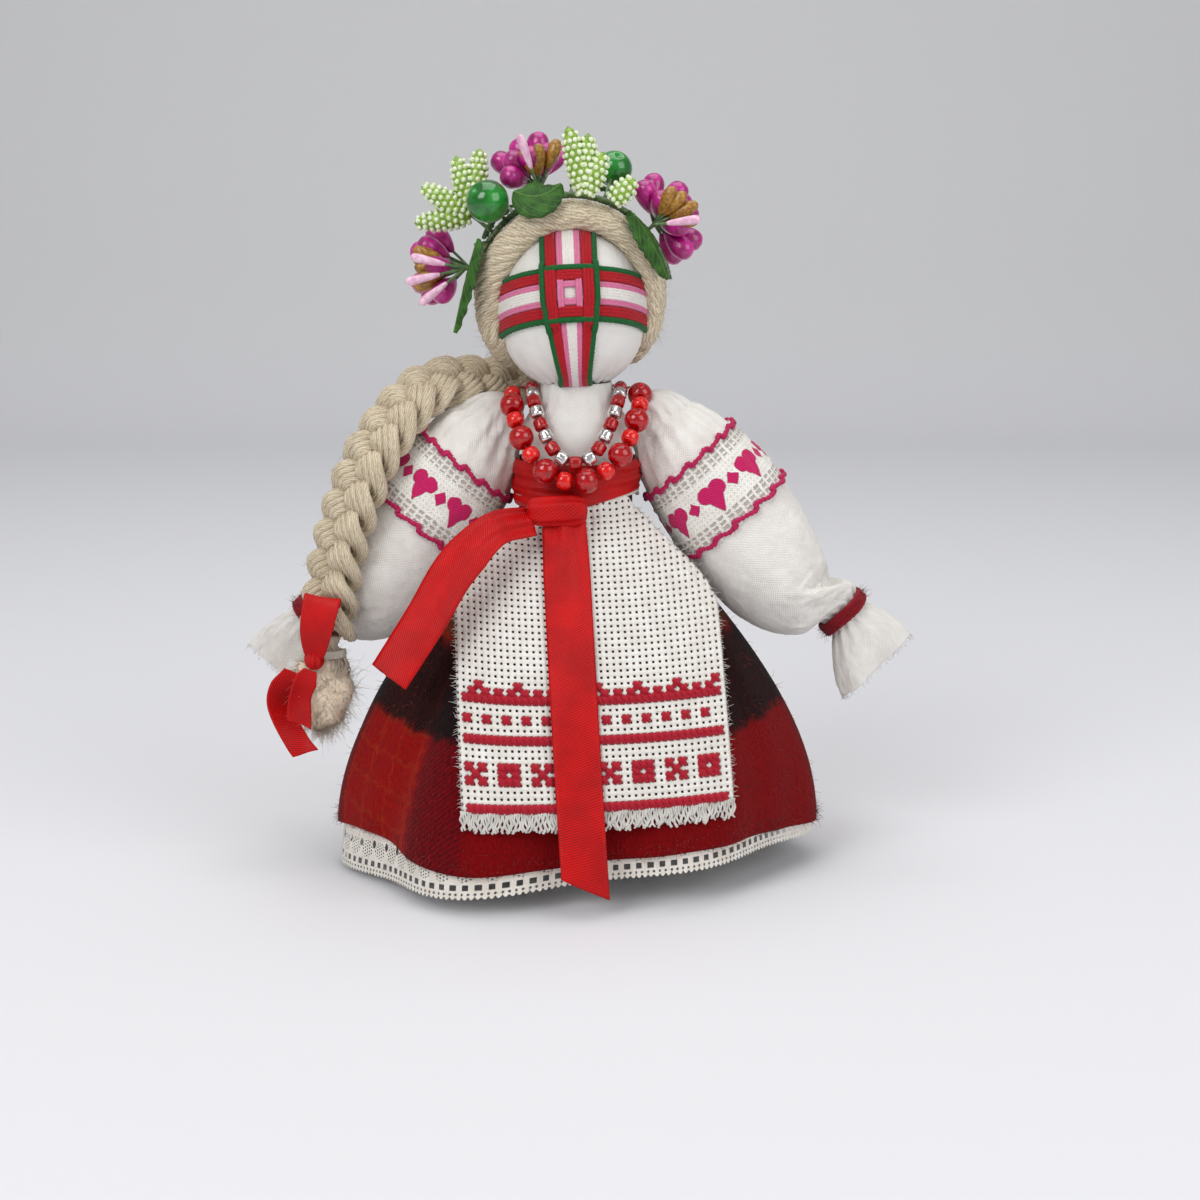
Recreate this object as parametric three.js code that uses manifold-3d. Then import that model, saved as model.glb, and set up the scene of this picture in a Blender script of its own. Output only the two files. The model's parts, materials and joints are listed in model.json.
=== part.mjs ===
// A wound cloth doll that stands by itself: a rolled cloth core, a bound head with a cross of wound thread in
// place of a face, stuffed sleeves, a wool skirt over a lace-edged petticoat, an embroidered apron, a ribbon
// sash, two strings of beads, a three-strand plait and a wreath of small flowers.
// Millimetres, +Z up. The doll faces -Y and stands on z = 0.
import * as THREE from "three";
import { mergeVertices } from "three/addons/utils/BufferGeometryUtils.js";
import Module from "manifold-3d";

// Clearances
const GAP = 0.3;
const TURN_GAP = 0.5;

// Wound core and blouse
const ROLL_CORE_RADIUS = 2.7;
const ROLL_CLOTH = 1.4;
const ROLL_TURNS = 4;
const ROLL_TOP = 112;
const BLOUSE_CLOTH = 0.8;
const BLOUSE_BOTTOM = 88;
const BUST_Z = 108;
const BUST_HALF_WIDTH = 14.5;
const BUST_HALF_DEPTH = 12.6;
const SHOULDER_Z = 113;
const SHOULDER_HALF_WIDTH = 12.6;
const SHOULDER_HALF_DEPTH = 11.7;
const NECK_BASE_Z = 116.5;
const NECK_BASE_RADIUS = 9.2;
const BOUND_NECK_Z = 118;
const BOUND_NECK_RADIUS = 7.5;
const NECK_TOP = 121.6;
const TIE_THREAD = 0.9;
const NECK_TIE_TURNS = 2;
const WAIST_TIE_TURNS = 2;
const WAIST_TIE_SLACK = 0.5;

// Skirt, petticoat and lace
const SKIRT_CLOTH = 1.4;
const SKIRT_TOP = 97;
const SKIRT_HEM_Z = 9;
const SKIRT_HALF_WIDTH = 61;
const SKIRT_HALF_DEPTH = 46;
const FOLD_DEPTH = 1.8;
const FOLD_COUNT = 7;
const FOLD_PHASE = 1.1;
const LOBE_DEPTH = 7;
const LOBE_ANGLE = -2.05;
const LOBE_SPREAD = 0.34;
const HEM_LIFT = 5;
const HEM_LIFT_ANGLE = -0.9;
const HEM_LIFT_SPREAD = 0.8;
const PETTICOAT_CLOTH = 0.6;
const PETTICOAT_TOP = 95;
const LACE_TOP = 13;
const LACE_CLOTH = 0.8;
const LACE_FLARE = 1;
const LACE_LIFT = 9;
const LACE_LIFT_ANGLE = -0.7;
const LACE_LIFT_SPREAD = 1.4;

// Apron and sash
const APRON_CLOTH = 0.8;
const APRON_BOTTOM = 21;
const APRON_HALF_WIDTH = 32.5;
const APRON_TOP_HALF_WIDTH = 10.5;
const APRON_TOP_CENTRE = 1;
const APRON_BOTTOM_CENTRE = 6;
const RIBBON_THICKNESS = 0.5;
const SASH_WIDTH = 11.5;
const SASH_TOP = 103.5;
const KNOT_X = -4.5;
const KNOT_Z = 93;
const KNOT_HALF_WIDTH = 6.2;
const KNOT_HALF_HEIGHT = 3.8;
const KNOT_HALF_DEPTH = 2.6;
const TAIL_END_Z = 4;
const TAIL_SWING = 5.5;
const SIDE_TAIL_ROOT_WIDTH = 8;
const TAIL_END_SLANT = 6;

// Sleeves
const SHOULDER_PIVOT_X = 22.2;
const SHOULDER_PIVOT_Y = 2;
const LEFT_PIVOT_Z = 111;
const RIGHT_PIVOT_Z = 110.4;
const LEFT_ARM_DROP = 46;
const RIGHT_ARM_DROP = 47.5;
const SLEEVE_CLOTH = 0.8;
const SLEEVE_LENGTH = 64;
const SLEEVE_HALF_WIDTH = 16.4;
const SLEEVE_FULLNESS = 0.6;
const STUFFING_SLACK = 1.8;
const SLEEVE_ROOT_HALF_WIDTH = 8.4;
const SLEEVE_FLATNESS = 0.8;
const SLEEVE_SAG = 3;
const WRIST_HALF_WIDTH = 5.6;
const WRIST_LENGTH = 4.4;
const CUFF_LENGTH = 14;
const CUFF_HALF_WIDTH = 11.8;
const CUFF_HALF_DEPTH = 5.5;
const CUFF_DROP = 4;
const CUFF_CREASE = 0.12;
const SLEEVE_TRIM = 0.5;
const TRIM_START = 9;
const TRIM_WIDTH = 18.5;
const WRIST_TIE_TURNS = 2;

// Head
const HEAD_LEAN = 3;
const HEAD_RADIUS = 18.4;
const HEAD_HALF_HEIGHT = 20.3;
const HEAD_CENTRE = 20;
const HEAD_JAW = 0.833;
const HEAD_OPENING = 69;
const HEAD_CLOTH = 0.8;
const FACE_THREAD = 1.35;
const FACE_THREAD_HEIGHT = 0.95;
const FACE_THREAD_GAP = 0.2;
const CROSS_CENTRE = 23.8;
const CROSS_TILT = 18;
const CROSS_CHIN_NARROWING = 0.58;

// Hair and plait
const HAIR_THICKNESS = 5;
const HAIR_STRANDS = 16;
const HAIR_STRAND_DEPTH = 1;
const HAIR_FRONT = -6;
const HAIR_FRONT_LEAN = 14;
const HAIR_LOWER_EDGE = 9;
const HAIR_LOWER_SLOPE = 12;
const PLAIT_HALF_WIDTH = 4.2;
const PLAIT_HALF_DEPTH = 2.9;
const PLAIT_STRAND_RADIUS = 1.9;
const PLAIT_PERIODS = 3;
const PLAIT_TIE_TURNS = 2;
const TUFT_LENGTH = 19;
const TUFT_RADIUS = 8;
const BOW_RIBBON = 6;
const BOW_LOOP_WIDTH = 9;
const BOW_KNOT_RADIUS = 2.4;

// Beads
const STRING_RADIUS = 0.4;
const LARGE_BEAD = 6.2;
const SMALL_BEAD = 4.4;
const SEED_BEAD = 3.5;
const OUTER_BEAD_PAIRS = 7;
const SEED_BEADS = 17;

// Wreath
const WREATH_WIRE_RADIUS = 0.8;
const WREATH_DEPTH = 3;
const BUD_RADIUS = 2.6;
const BUD_LENGTH = 8.5;
const GRAIN_RADIUS = 1.7;
const GRAIN_LENGTH = 8;
const CATKIN_RADIUS = 1.2;
const CATKIN_LENGTH = 9;
const STAMEN_WIRE = 0.45;
const STEM_RADIUS = 0.6;
const BERRY_RADIUS = 5.2;
const SMALL_BERRY_RADIUS = 4.5;
const SPRIG_RADIUS = 3;
const LEAF_WIDTH = 8;
const LEAF_THICKNESS = 0.8;

const TAU = Math.PI * 2;
const radians = THREE.MathUtils.degToRad;
const wasm = await Module();
wasm.setup();

const material = (name, color, roughness) => {
  const result = new THREE.MeshStandardMaterial({ color, roughness, metalness: 0 });
  result.name = name;
  return result;
};
const WHITE_COTTON = material("white_cotton", 0xe9e6dd, 0.9);
const CORE_CLOTH = material("core_cloth", 0xd8d2c2, 0.95);
const STUFFING = material("stuffing", 0xf0ede4, 0.95);
const BINDING = material("binding_thread", 0x7d1420, 0.85);
const PLAID_WOOL = material("plaid_wool", 0x571c20, 0.95);
const LACE = material("lace", 0xf2f0ea, 0.85);
const AIDA = material("aida_cloth", 0xece9e2, 0.9);
const SATIN = material("satin_ribbon", 0xc9151b, 0.35);
const WHITE_THREAD = material("white_thread", 0xe8e4da, 0.85);
const PINK_THREAD = material("pink_thread", 0xd9a0ad, 0.85);
const RED_THREAD = material("red_thread", 0xa81c33, 0.85);
const GREEN_THREAD = material("green_thread", 0x3d6133, 0.85);
const YARN = material("wool_yarn", 0xcbbd9f, 0.95);
const RED_GLASS = material("red_glass", 0x8f0d16, 0.15);
const SEED_GLASS = material("seed_glass", 0xb5655c, 0.1);
const PINK_PETAL = material("pink_petal", 0xc4168a, 0.4);
const GOLD_GRAIN = material("gold_grain", 0x9a7424, 0.4);
const PALE_PETAL = material("pale_petal", 0xf0c6cc, 0.7);
const LEAF_GREEN = material("leaf_green", 0x2f6b33, 0.6);
const BERRY_GREEN = material("berry_green", 0x2e7d32, 0.3);
const SPRIG_FOAM = material("sprig_foam", 0xa8cc6a, 0.8);

// Triangles are turned round when the surface encloses a negative volume, so every face points out.
function outward(geometry) {
  const merged = mergeVertices(geometry, 1e-4);
  const p = merged.attributes.position;
  const index = merged.index.array;
  const a = new THREE.Vector3();
  const b = new THREE.Vector3();
  const c = new THREE.Vector3();
  let volume = 0;
  for (let i = 0; i < index.length; i += 3) {
    a.fromBufferAttribute(p, index[i]);
    b.fromBufferAttribute(p, index[i + 1]);
    c.fromBufferAttribute(p, index[i + 2]);
    volume += a.dot(b.cross(c));
  }
  if (volume < 0) {
    for (let i = 0; i < index.length; i += 3) {
      [index[i + 1], index[i + 2]] = [index[i + 2], index[i + 1]];
    }
  }
  return merged;
}

function bare(geometry) {
  const copy = geometry.clone();
  for (const name of ["normal", "uv"]) {
    copy.deleteAttribute(name);
  }
  return outward(copy);
}

// Rings of points are joined to their neighbours, and the end rings are capped or joined to each other.
function skin(rings, loop = false) {
  const count = rings[0].length;
  const triangles = [];
  const spans = loop ? rings.length : rings.length - 1;
  for (let i = 0; i < spans; i++) {
    const a = i * count;
    const b = ((i + 1) % rings.length) * count;
    for (let j = 0; j < count; j++) {
      const k = (j + 1) % count;
      triangles.push(a + j, b + j, b + k, a + j, b + k, a + k);
    }
  }
  if (!loop) {
    const end = (rings.length - 1) * count;
    for (let j = 1; j < count - 1; j++) {
      triangles.push(0, j, j + 1, end, end + j + 1, end + j);
    }
  }
  const geometry = new THREE.BufferGeometry();
  const points = rings.flat().flatMap((p) => [p.x, p.y, p.z]);
  geometry.setAttribute("position", new THREE.Float32BufferAttribute(points, 3));
  geometry.setIndex(triangles);
  return outward(geometry);
}

function solid(geometry) {
  const source = bare(geometry);
  const mesh = new wasm.Mesh({
    numProp: 3,
    vertProperties: new Float32Array(source.attributes.position.array),
    triVerts: new Uint32Array(source.index.array),
  });
  return new wasm.Manifold(mesh);
}

function fromSolid(manifold) {
  const mesh = manifold.getMesh();
  const geometry = new THREE.BufferGeometry();
  geometry.setAttribute("position", new THREE.Float32BufferAttribute(mesh.vertProperties, 3));
  geometry.setIndex(Array.from(mesh.triVerts));
  return geometry;
}

const join = (solids) => solids.reduce((a, b) => a.add(b));

// A section is carried along points, with its second axis kept towards the given up direction at each point.
function sweep(points, upAt, sectionAt) {
  const rings = points.map((point, i) => {
    const before = points[Math.max(i - 1, 0)];
    const after = points[Math.min(i + 1, points.length - 1)];
    const along = after.clone().sub(before).normalize();
    const side = along.clone().cross(upAt(i)).normalize();
    const up = side.clone().cross(along);
    return sectionAt(i / (points.length - 1), i).map(([u, v]) => (
      point.clone().addScaledVector(side, u).addScaledVector(up, v)
    ));
  });
  return skin(rings);
}

const polygon = (radius, sides) => Array.from({ length: sides }, (_, i) => [
  radius * Math.cos((TAU * i) / sides),
  radius * Math.sin((TAU * i) / sides),
]);
const flat = (width, thickness) => [
  [-width / 2, -thickness / 2],
  [width / 2, -thickness / 2],
  [width / 2, thickness / 2],
  [-width / 2, thickness / 2],
];
const sample = (curve, steps) => curve.getPoints(steps);

function tube(curve, radius, steps, sides) {
  const outline = new THREE.Shape(polygon(radius, sides).map(([x, y]) => new THREE.Vector2(x, y)));
  return new THREE.ExtrudeGeometry(outline, { steps, extrudePath: curve, bevelEnabled: false });
}

function turned(points, segments) {
  return new THREE.LatheGeometry(points, segments).rotateX(Math.PI / 2);
}

// A rod or bud turned about +Z is laid from one point towards another.
function laid(geometry, from, direction) {
  const turn = new THREE.Quaternion().setFromUnitVectors(new THREE.Vector3(0, 0, 1), direction);
  return geometry.clone().applyQuaternion(turn).translate(from.x, from.y, from.z);
}

const add = (parent, name, geometry, look) => {
  const mesh = new THREE.Mesh(bare(geometry), look);
  mesh.name = name;
  parent.add(mesh);
  return mesh;
};

// A winding is one thread on an oval helix, with straight ends of one thread diameter.
function winding(name, halfWidth, halfDepth, turns, centre, turn) {
  const steps = 12;
  const pitch = TIE_THREAD + TURN_GAP;
  const a = halfWidth + GAP + TIE_THREAD / 2;
  const b = halfDepth + GAP + TIE_THREAD / 2;
  const points = [];
  for (let i = 0; i <= turns * steps; i++) {
    const angle = (TAU * i) / steps;
    const z = (i / steps - turns / 2) * pitch;
    points.push(new THREE.Vector3(a * Math.cos(angle), b * Math.sin(angle), z));
  }
  const straight = (from, to) => to.clone().add(to.clone().sub(from).setLength(TIE_THREAD));
  points.unshift(straight(points[1], points[0]));
  points.push(straight(points[points.length - 2], points[points.length - 1]));
  let least = Infinity;
  points.forEach((p, i) => {
    points.slice(i + steps / 2).forEach((q) => {
      least = Math.min(least, p.distanceTo(q) - TIE_THREAD);
    });
  });
  console.log(`${name}: least gap between turns ${least.toFixed(2)} mm`);
  const placed = points.map((p) => p.applyQuaternion(turn).add(centre));
  const outwards = placed.map((p) => p.clone().sub(centre).normalize());
  return sweep(placed, (i) => outwards[i], () => polygon(TIE_THREAD / 2, 5));
}

const doll = new THREE.Group();
doll.name = "wound_doll";

// Wound core: a cloth strip rolled round itself, solid at its first turn
const rollPitch = ROLL_CLOTH + TURN_GAP;
const rollRadius = ROLL_CORE_RADIUS + ROLL_TURNS * rollPitch;
const rollSteps = 12;
const rollOutline = [];
for (let i = 0; i <= ROLL_TURNS * rollSteps; i++) {
  const radius = ROLL_CORE_RADIUS + (rollPitch * i) / rollSteps;
  rollOutline.push(new THREE.Vector2(radius, 0).rotateAround(new THREE.Vector2(), (TAU * i) / rollSteps));
}
for (let i = ROLL_TURNS * rollSteps; i >= rollSteps; i--) {
  const radius = ROLL_CORE_RADIUS + (rollPitch * i) / rollSteps - ROLL_CLOTH;
  rollOutline.push(new THREE.Vector2(radius, 0).rotateAround(new THREE.Vector2(), (TAU * i) / rollSteps));
}
const rollGeometry = new THREE.ExtrudeGeometry(new THREE.Shape(rollOutline), {
  depth: ROLL_TOP,
  bevelEnabled: false,
});
console.log(`body_roll: gap between turns ${TURN_GAP.toFixed(2)} mm`);
add(doll, "body_roll", rollGeometry, CORE_CLOTH);

// Oval rings about the doll's axis, used by every layer round the body
const ringSteps = 36;
const ring = (z, radiusAt, steps = ringSteps) => Array.from({ length: steps }, (_, i) => {
  const angle = (TAU * i) / steps;
  const [x, y] = radiusAt(angle);
  return new THREE.Vector3(x, y, typeof z === "function" ? z(angle) : z);
});
const oval = (a, b) => (angle) => [a * Math.cos(angle), b * Math.sin(angle)];

// Blouse body
const blouseWaist = rollRadius + GAP + BLOUSE_CLOTH;
const blouseLevels = [
  [BLOUSE_BOTTOM, blouseWaist, blouseWaist],
  [SKIRT_TOP, blouseWaist, blouseWaist],
  [BUST_Z, BUST_HALF_WIDTH, BUST_HALF_DEPTH],
  [SHOULDER_Z, SHOULDER_HALF_WIDTH, SHOULDER_HALF_DEPTH],
  [NECK_BASE_Z, NECK_BASE_RADIUS, NECK_BASE_RADIUS],
  [BOUND_NECK_Z, BOUND_NECK_RADIUS, BOUND_NECK_RADIUS],
  [NECK_TOP, BOUND_NECK_RADIUS, BOUND_NECK_RADIUS],
];
const blouseRings = (inset) => blouseLevels.map(([z, a, b]) => ring(z, oval(a - inset, b - inset), 16));
add(doll, "blouse", skin([...blouseRings(0), ...blouseRings(BLOUSE_CLOTH).reverse()], true), WHITE_COTTON);

const level = new THREE.Quaternion();
const neckTieZ = (BOUND_NECK_Z + NECK_TOP) / 2 + 0.2;
add(doll, "neck_tie", winding(
  "neck_tie", BOUND_NECK_RADIUS, BOUND_NECK_RADIUS, NECK_TIE_TURNS, new THREE.Vector3(0, 0, neckTieZ), level,
), BINDING);

// Skirt and petticoat: bells that swell from the waist to the hem with folds that deepen downwards
const petticoatWaist = blouseWaist + GAP + PETTICOAT_CLOTH;
const skirtWaist = petticoatWaist + GAP + SKIRT_CLOTH;
const angleFrom = (angle, centre) => Math.atan2(Math.sin(angle - centre), Math.cos(angle - centre));
const bump = (angle, centre, spread) => Math.exp(-((angleFrom(angle, centre) / spread) ** 2));
const hemLift = (angle) => HEM_LIFT * bump(angle, HEM_LIFT_ANGLE, HEM_LIFT_SPREAD);
const laceLift = (angle) => LACE_LIFT * bump(angle, LACE_LIFT_ANGLE, LACE_LIFT_SPREAD);
const sashBottom = SASH_TOP - SASH_WIDTH;
const bellTop = sashBottom - 2 * GAP;
const bell = (drop) => Math.sin((Math.PI / 2) * THREE.MathUtils.clamp(drop, 0, 1));
const skirtDrop = (z) => (bellTop - z) / (bellTop - SKIRT_HEM_Z);
const skirtHalfWidth = (drop) => skirtWaist + (SKIRT_HALF_WIDTH - skirtWaist) * bell(drop);
const skirtHalfDepth = (drop) => skirtWaist + (SKIRT_HALF_DEPTH - skirtWaist) * bell(drop);
const fold = (angle, drop) => (
  FOLD_DEPTH * drop * Math.cos(FOLD_COUNT * angle + FOLD_PHASE)
  + LOBE_DEPTH * drop ** 2 * bump(angle, LOBE_ANGLE, LOBE_SPREAD)
);
const skirtAt = (drop, inset) => (angle) => {
  const swell = fold(angle, drop) - inset;
  return [
    (skirtHalfWidth(drop) + swell) * Math.cos(angle),
    (skirtHalfDepth(drop) + swell) * Math.sin(angle),
  ];
};
const bellRing = (drop, inset) => ring(
  (angle) => bellTop + (SKIRT_HEM_Z + hemLift(angle) * drop ** 2 - bellTop) * drop,
  skirtAt(drop, inset),
);
const waistRing = (z, inset) => ring(z, oval(skirtWaist - inset, skirtWaist - inset));
const laceDrop = skirtDrop(LACE_TOP);
const bellDrops = [0, 0.16, 0.36, 0.58, 0.8, laceDrop];
const skirtDrops = [...bellDrops, 1];
add(doll, "skirt", skin([
  waistRing(SKIRT_TOP, 0),
  ...skirtDrops.map((drop) => bellRing(drop, 0)),
  ...skirtDrops.map((drop) => bellRing(drop, SKIRT_CLOTH)).reverse(),
  waistRing(SKIRT_TOP, SKIRT_CLOTH),
], true), PLAID_WOOL);

const petticoatInset = SKIRT_CLOTH + GAP;
const petticoatDrops = bellDrops.filter((_, i) => i !== 1);
add(doll, "petticoat", skin([
  waistRing(PETTICOAT_TOP, petticoatInset),
  ...petticoatDrops.map((drop) => bellRing(drop, petticoatInset + GAP * drop)),
  ...petticoatDrops.map((drop) => bellRing(drop, petticoatInset + GAP * drop + PETTICOAT_CLOTH)).reverse(),
  waistRing(PETTICOAT_TOP, petticoatInset + PETTICOAT_CLOTH),
], true), WHITE_COTTON);

// Lace hem: sewn on below the petticoat, flaring to the ground behind and caught up at the front
const laceRing = (share, inset) => ring(
  (angle) => {
    const top = bellTop + (SKIRT_HEM_Z + hemLift(angle) * laceDrop ** 2 - bellTop) * laceDrop - GAP;
    return top + (laceLift(angle) - top) * share;
  },
  skirtAt(laceDrop + (1 - laceDrop) * share, petticoatInset + inset - LACE_FLARE * share ** 3),
);
const laceShares = [0, 0.4, 0.7, 1];
add(doll, "lace_hem", skin([
  ...laceShares.map((share) => laceRing(share, 0)),
  ...laceShares.map((share) => laceRing(share, LACE_CLOTH)).reverse(),
], true), LACE);

const waistTieZ = SKIRT_TOP - 1.5;
const tiedWaist = skirtWaist + WAIST_TIE_SLACK;
add(doll, "waist_tie", winding(
  "waist_tie", tiedWaist, tiedWaist, WAIST_TIE_TURNS, new THREE.Vector3(0, 0, waistTieZ), level,
), BINDING);

// Sash: a satin ribbon round the waist, with its knot and two hanging tails
const sashInner = tiedWaist + GAP + TIE_THREAD + GAP;
const sashOuter = sashInner + RIBBON_THICKNESS;
add(doll, "sash_band", skin([
  ring(SASH_TOP, oval(sashOuter, sashOuter), 24),
  ring(sashBottom, oval(sashOuter, sashOuter), 24),
  ring(sashBottom, oval(sashInner, sashInner), 24),
  ring(SASH_TOP, oval(sashInner, sashInner), 24),
], true), SATIN);

const knotY = -sashOuter - GAP - KNOT_HALF_DEPTH;
const knotGeometry = new THREE.SphereGeometry(1, 10, 6)
  .scale(KNOT_HALF_WIDTH, KNOT_HALF_DEPTH, KNOT_HALF_HEIGHT)
  .translate(KNOT_X, knotY, KNOT_Z);
add(doll, "sash_knot", knotGeometry, SATIN);

// Apron: gathered under the sash and spreading to its full width over the front of the skirt
const apronTop = sashBottom - GAP;
const envelopeWidth = (z) => skirtHalfWidth(skirtDrop(z)) + FOLD_DEPTH * skirtDrop(z);
const envelopeDepth = (z) => skirtHalfDepth(skirtDrop(z)) + FOLD_DEPTH * skirtDrop(z);
const overLobe = (x, z) => {
  const fromLobe = (x / envelopeWidth(z) - Math.cos(LOBE_ANGLE)) / LOBE_SPREAD;
  return 1.2 * LOBE_DEPTH * skirtDrop(z) ** 2 * Math.exp(-((fromLobe / 1.1) ** 2));
};
const apronBackY = (x, z) => {
  const share = x / envelopeWidth(z);
  return -(envelopeDepth(z) * (1 - share ** 2 / 2) + overLobe(x, z) + GAP);
};
const apronX = (s, t) => {
  const spread = THREE.MathUtils.smoothstep(t, -0.12, 0.34);
  const half = APRON_TOP_HALF_WIDTH + (APRON_HALF_WIDTH - APRON_TOP_HALF_WIDTH) * spread;
  return THREE.MathUtils.lerp(APRON_TOP_CENTRE, APRON_BOTTOM_CENTRE, t) + s * half;
};
const apronSteps = 10;
const apronRows = Array.from({ length: 11 }, (_, row) => {
  const t = row / 10;
  const z = THREE.MathUtils.lerp(apronTop, APRON_BOTTOM, t);
  const back = [];
  const front = [];
  for (let i = 0; i <= apronSteps; i++) {
    const x = apronX(-1 + (2 * i) / apronSteps, t);
    back.push(new THREE.Vector3(x, apronBackY(x, z), z));
    front.push(new THREE.Vector3(x, apronBackY(x, z) - APRON_CLOTH, z));
  }
  return [...back, ...front.reverse()];
});
function sheet(rows) {
  const half = rows[0].length / 2;
  const triangles = [];
  const count = rows[0].length;
  for (let i = 0; i < rows.length - 1; i++) {
    for (let j = 0; j < count; j++) {
      const a = i * count;
      const b = a + count;
      const k = (j + 1) % count;
      triangles.push(a + j, b + j, b + k, a + j, b + k, a + k);
    }
  }
  for (const [base, turn] of [[0, false], [(rows.length - 1) * count, true]]) {
    for (let j = 0; j < half - 1; j++) {
      const quad = [base + j, base + j + 1, base + count - 2 - j, base + count - 1 - j];
      const order = turn ? [0, 2, 1, 0, 3, 2] : [0, 1, 2, 0, 2, 3];
      triangles.push(...order.map((n) => quad[n]));
    }
  }
  const geometry = new THREE.BufferGeometry();
  const points = rows.flat().flatMap((p) => [p.x, p.y, p.z]);
  geometry.setAttribute("position", new THREE.Float32BufferAttribute(points, 3));
  geometry.setIndex(triangles);
  return outward(geometry);
}
add(doll, "apron", sheet(apronRows), AIDA);

// Sash tails: the middle one hangs down the apron, the other swings out to the right hand
const apronFrontY = (x, z) => apronBackY(x, Math.max(z, APRON_BOTTOM)) - APRON_CLOTH;
const tailTop = KNOT_Z - KNOT_HALF_HEIGHT - 5 * GAP;
const tailTopX = KNOT_X + 5 * GAP;
const tailEndX = tailTopX + TAIL_SWING;
const tailSteps = 14;
const tailPoints = Array.from({ length: tailSteps + 1 }, (_, i) => {
  const t = i / tailSteps;
  const z = THREE.MathUtils.lerp(tailTop, TAIL_END_Z, t);
  const x = THREE.MathUtils.lerp(tailTopX, tailEndX, t);
  const fronts = [-0.5, -0.25, 0, 0.25, 0.5].map((share) => apronFrontY(x + share * SASH_WIDTH, z));
  return new THREE.Vector3(x, Math.min(...fronts) - GAP - RIBBON_THICKNESS / 2, z);
});
const forward = new THREE.Vector3(0, -1, 0);
const tailGeometry = sweep(tailPoints, () => forward, () => flat(SASH_WIDTH, RIBBON_THICKNESS));
const tailCut = new THREE.BoxGeometry(40, 40, 20)
  .translate(0, 0, -10)
  .rotateY(Math.atan(TAIL_END_SLANT / SASH_WIDTH))
  .translate(tailEndX, tailPoints[tailSteps].y, TAIL_END_Z + TAIL_END_SLANT / 2);
add(doll, "sash_tail_centre", fromSolid(solid(tailGeometry).subtract(solid(tailCut))), SATIN);

const sideTailCurve = new THREE.CatmullRomCurve3([
  new THREE.Vector3(KNOT_X - KNOT_HALF_WIDTH, knotY - 1, KNOT_Z - 2),
  new THREE.Vector3(-20, -25.5, 89.5),
  new THREE.Vector3(-29, -29, 80.5),
  new THREE.Vector3(-36, -32, 69),
  new THREE.Vector3(-45, -33.5, 55),
]);
const sideTailWidth = (t) => (
  THREE.MathUtils.lerp(SIDE_TAIL_ROOT_WIDTH, SASH_WIDTH, THREE.MathUtils.smoothstep(t, 0, 0.35))
);
add(doll, "sash_tail_side", sweep(
  sample(sideTailCurve, tailSteps), () => forward, (t) => flat(sideTailWidth(t), RIBBON_THICKNESS),
), SATIN);

// Arms: a rolled stuffing in a full sleeve, tied at the wrist so that the cuff flares into a hand
const alongSleeve = (s) => THREE.MathUtils.clamp(s / SLEEVE_LENGTH, 0, 1);
const alongCuff = (s) => Math.max((s - SLEEVE_LENGTH - WRIST_LENGTH) / CUFF_LENGTH, 0);
const sleeveHalf = (s) => {
  const swell = Math.max(Math.sin(Math.PI * alongSleeve(s)), 0) ** SLEEVE_FULLNESS;
  const flare = Math.sin((Math.PI / 2) * alongCuff(s));
  const slim = THREE.MathUtils.lerp(SLEEVE_ROOT_HALF_WIDTH, WRIST_HALF_WIDTH, alongSleeve(s));
  return slim + (SLEEVE_HALF_WIDTH - slim) * swell + (CUFF_HALF_WIDTH - WRIST_HALF_WIDTH) * flare;
};
const wristHalfDepth = WRIST_HALF_WIDTH * SLEEVE_FLATNESS;
const sleeveDepth = (s) => (alongCuff(s) > 0
  ? THREE.MathUtils.lerp(wristHalfDepth, CUFF_HALF_DEPTH, alongCuff(s))
  : sleeveHalf(s) * SLEEVE_FLATNESS);
const sleeveSag = (s) => -SLEEVE_SAG * Math.sin(Math.PI * alongSleeve(s) ** 2.5) - CUFF_DROP * alongCuff(s);
const sleeveRing = (s, inset, side) => Array.from({ length: 16 }, (_, i) => {
  const angle = (TAU * i) / 16;
  const crease = 1 + CUFF_CREASE * alongCuff(s) * Math.cos(6 * angle);
  return new THREE.Vector3(
    s,
    (sleeveDepth(s) * crease - inset) * Math.cos(angle),
    side * (sleeveSag(s) + (sleeveHalf(s) * crease - inset) * Math.sin(angle)),
  );
});
const wristEnd = SLEEVE_LENGTH + WRIST_LENGTH;
const trimStations = [0, 1 / 3, 2 / 3, 1].map((share) => TRIM_START + TRIM_WIDTH * share);
const sleeveStations = [
  0, 5, ...trimStations, 37, 46, 55, 61, SLEEVE_LENGTH, wristEnd, wristEnd + 3, wristEnd + CUFF_LENGTH,
];
const liningStations = sleeveStations.filter((_, i) => i % 2 === 0 || i > 9);
const lyingTurn = new THREE.Quaternion().setFromAxisAngle(new THREE.Vector3(0, 1, 0), Math.PI / 2);
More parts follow.
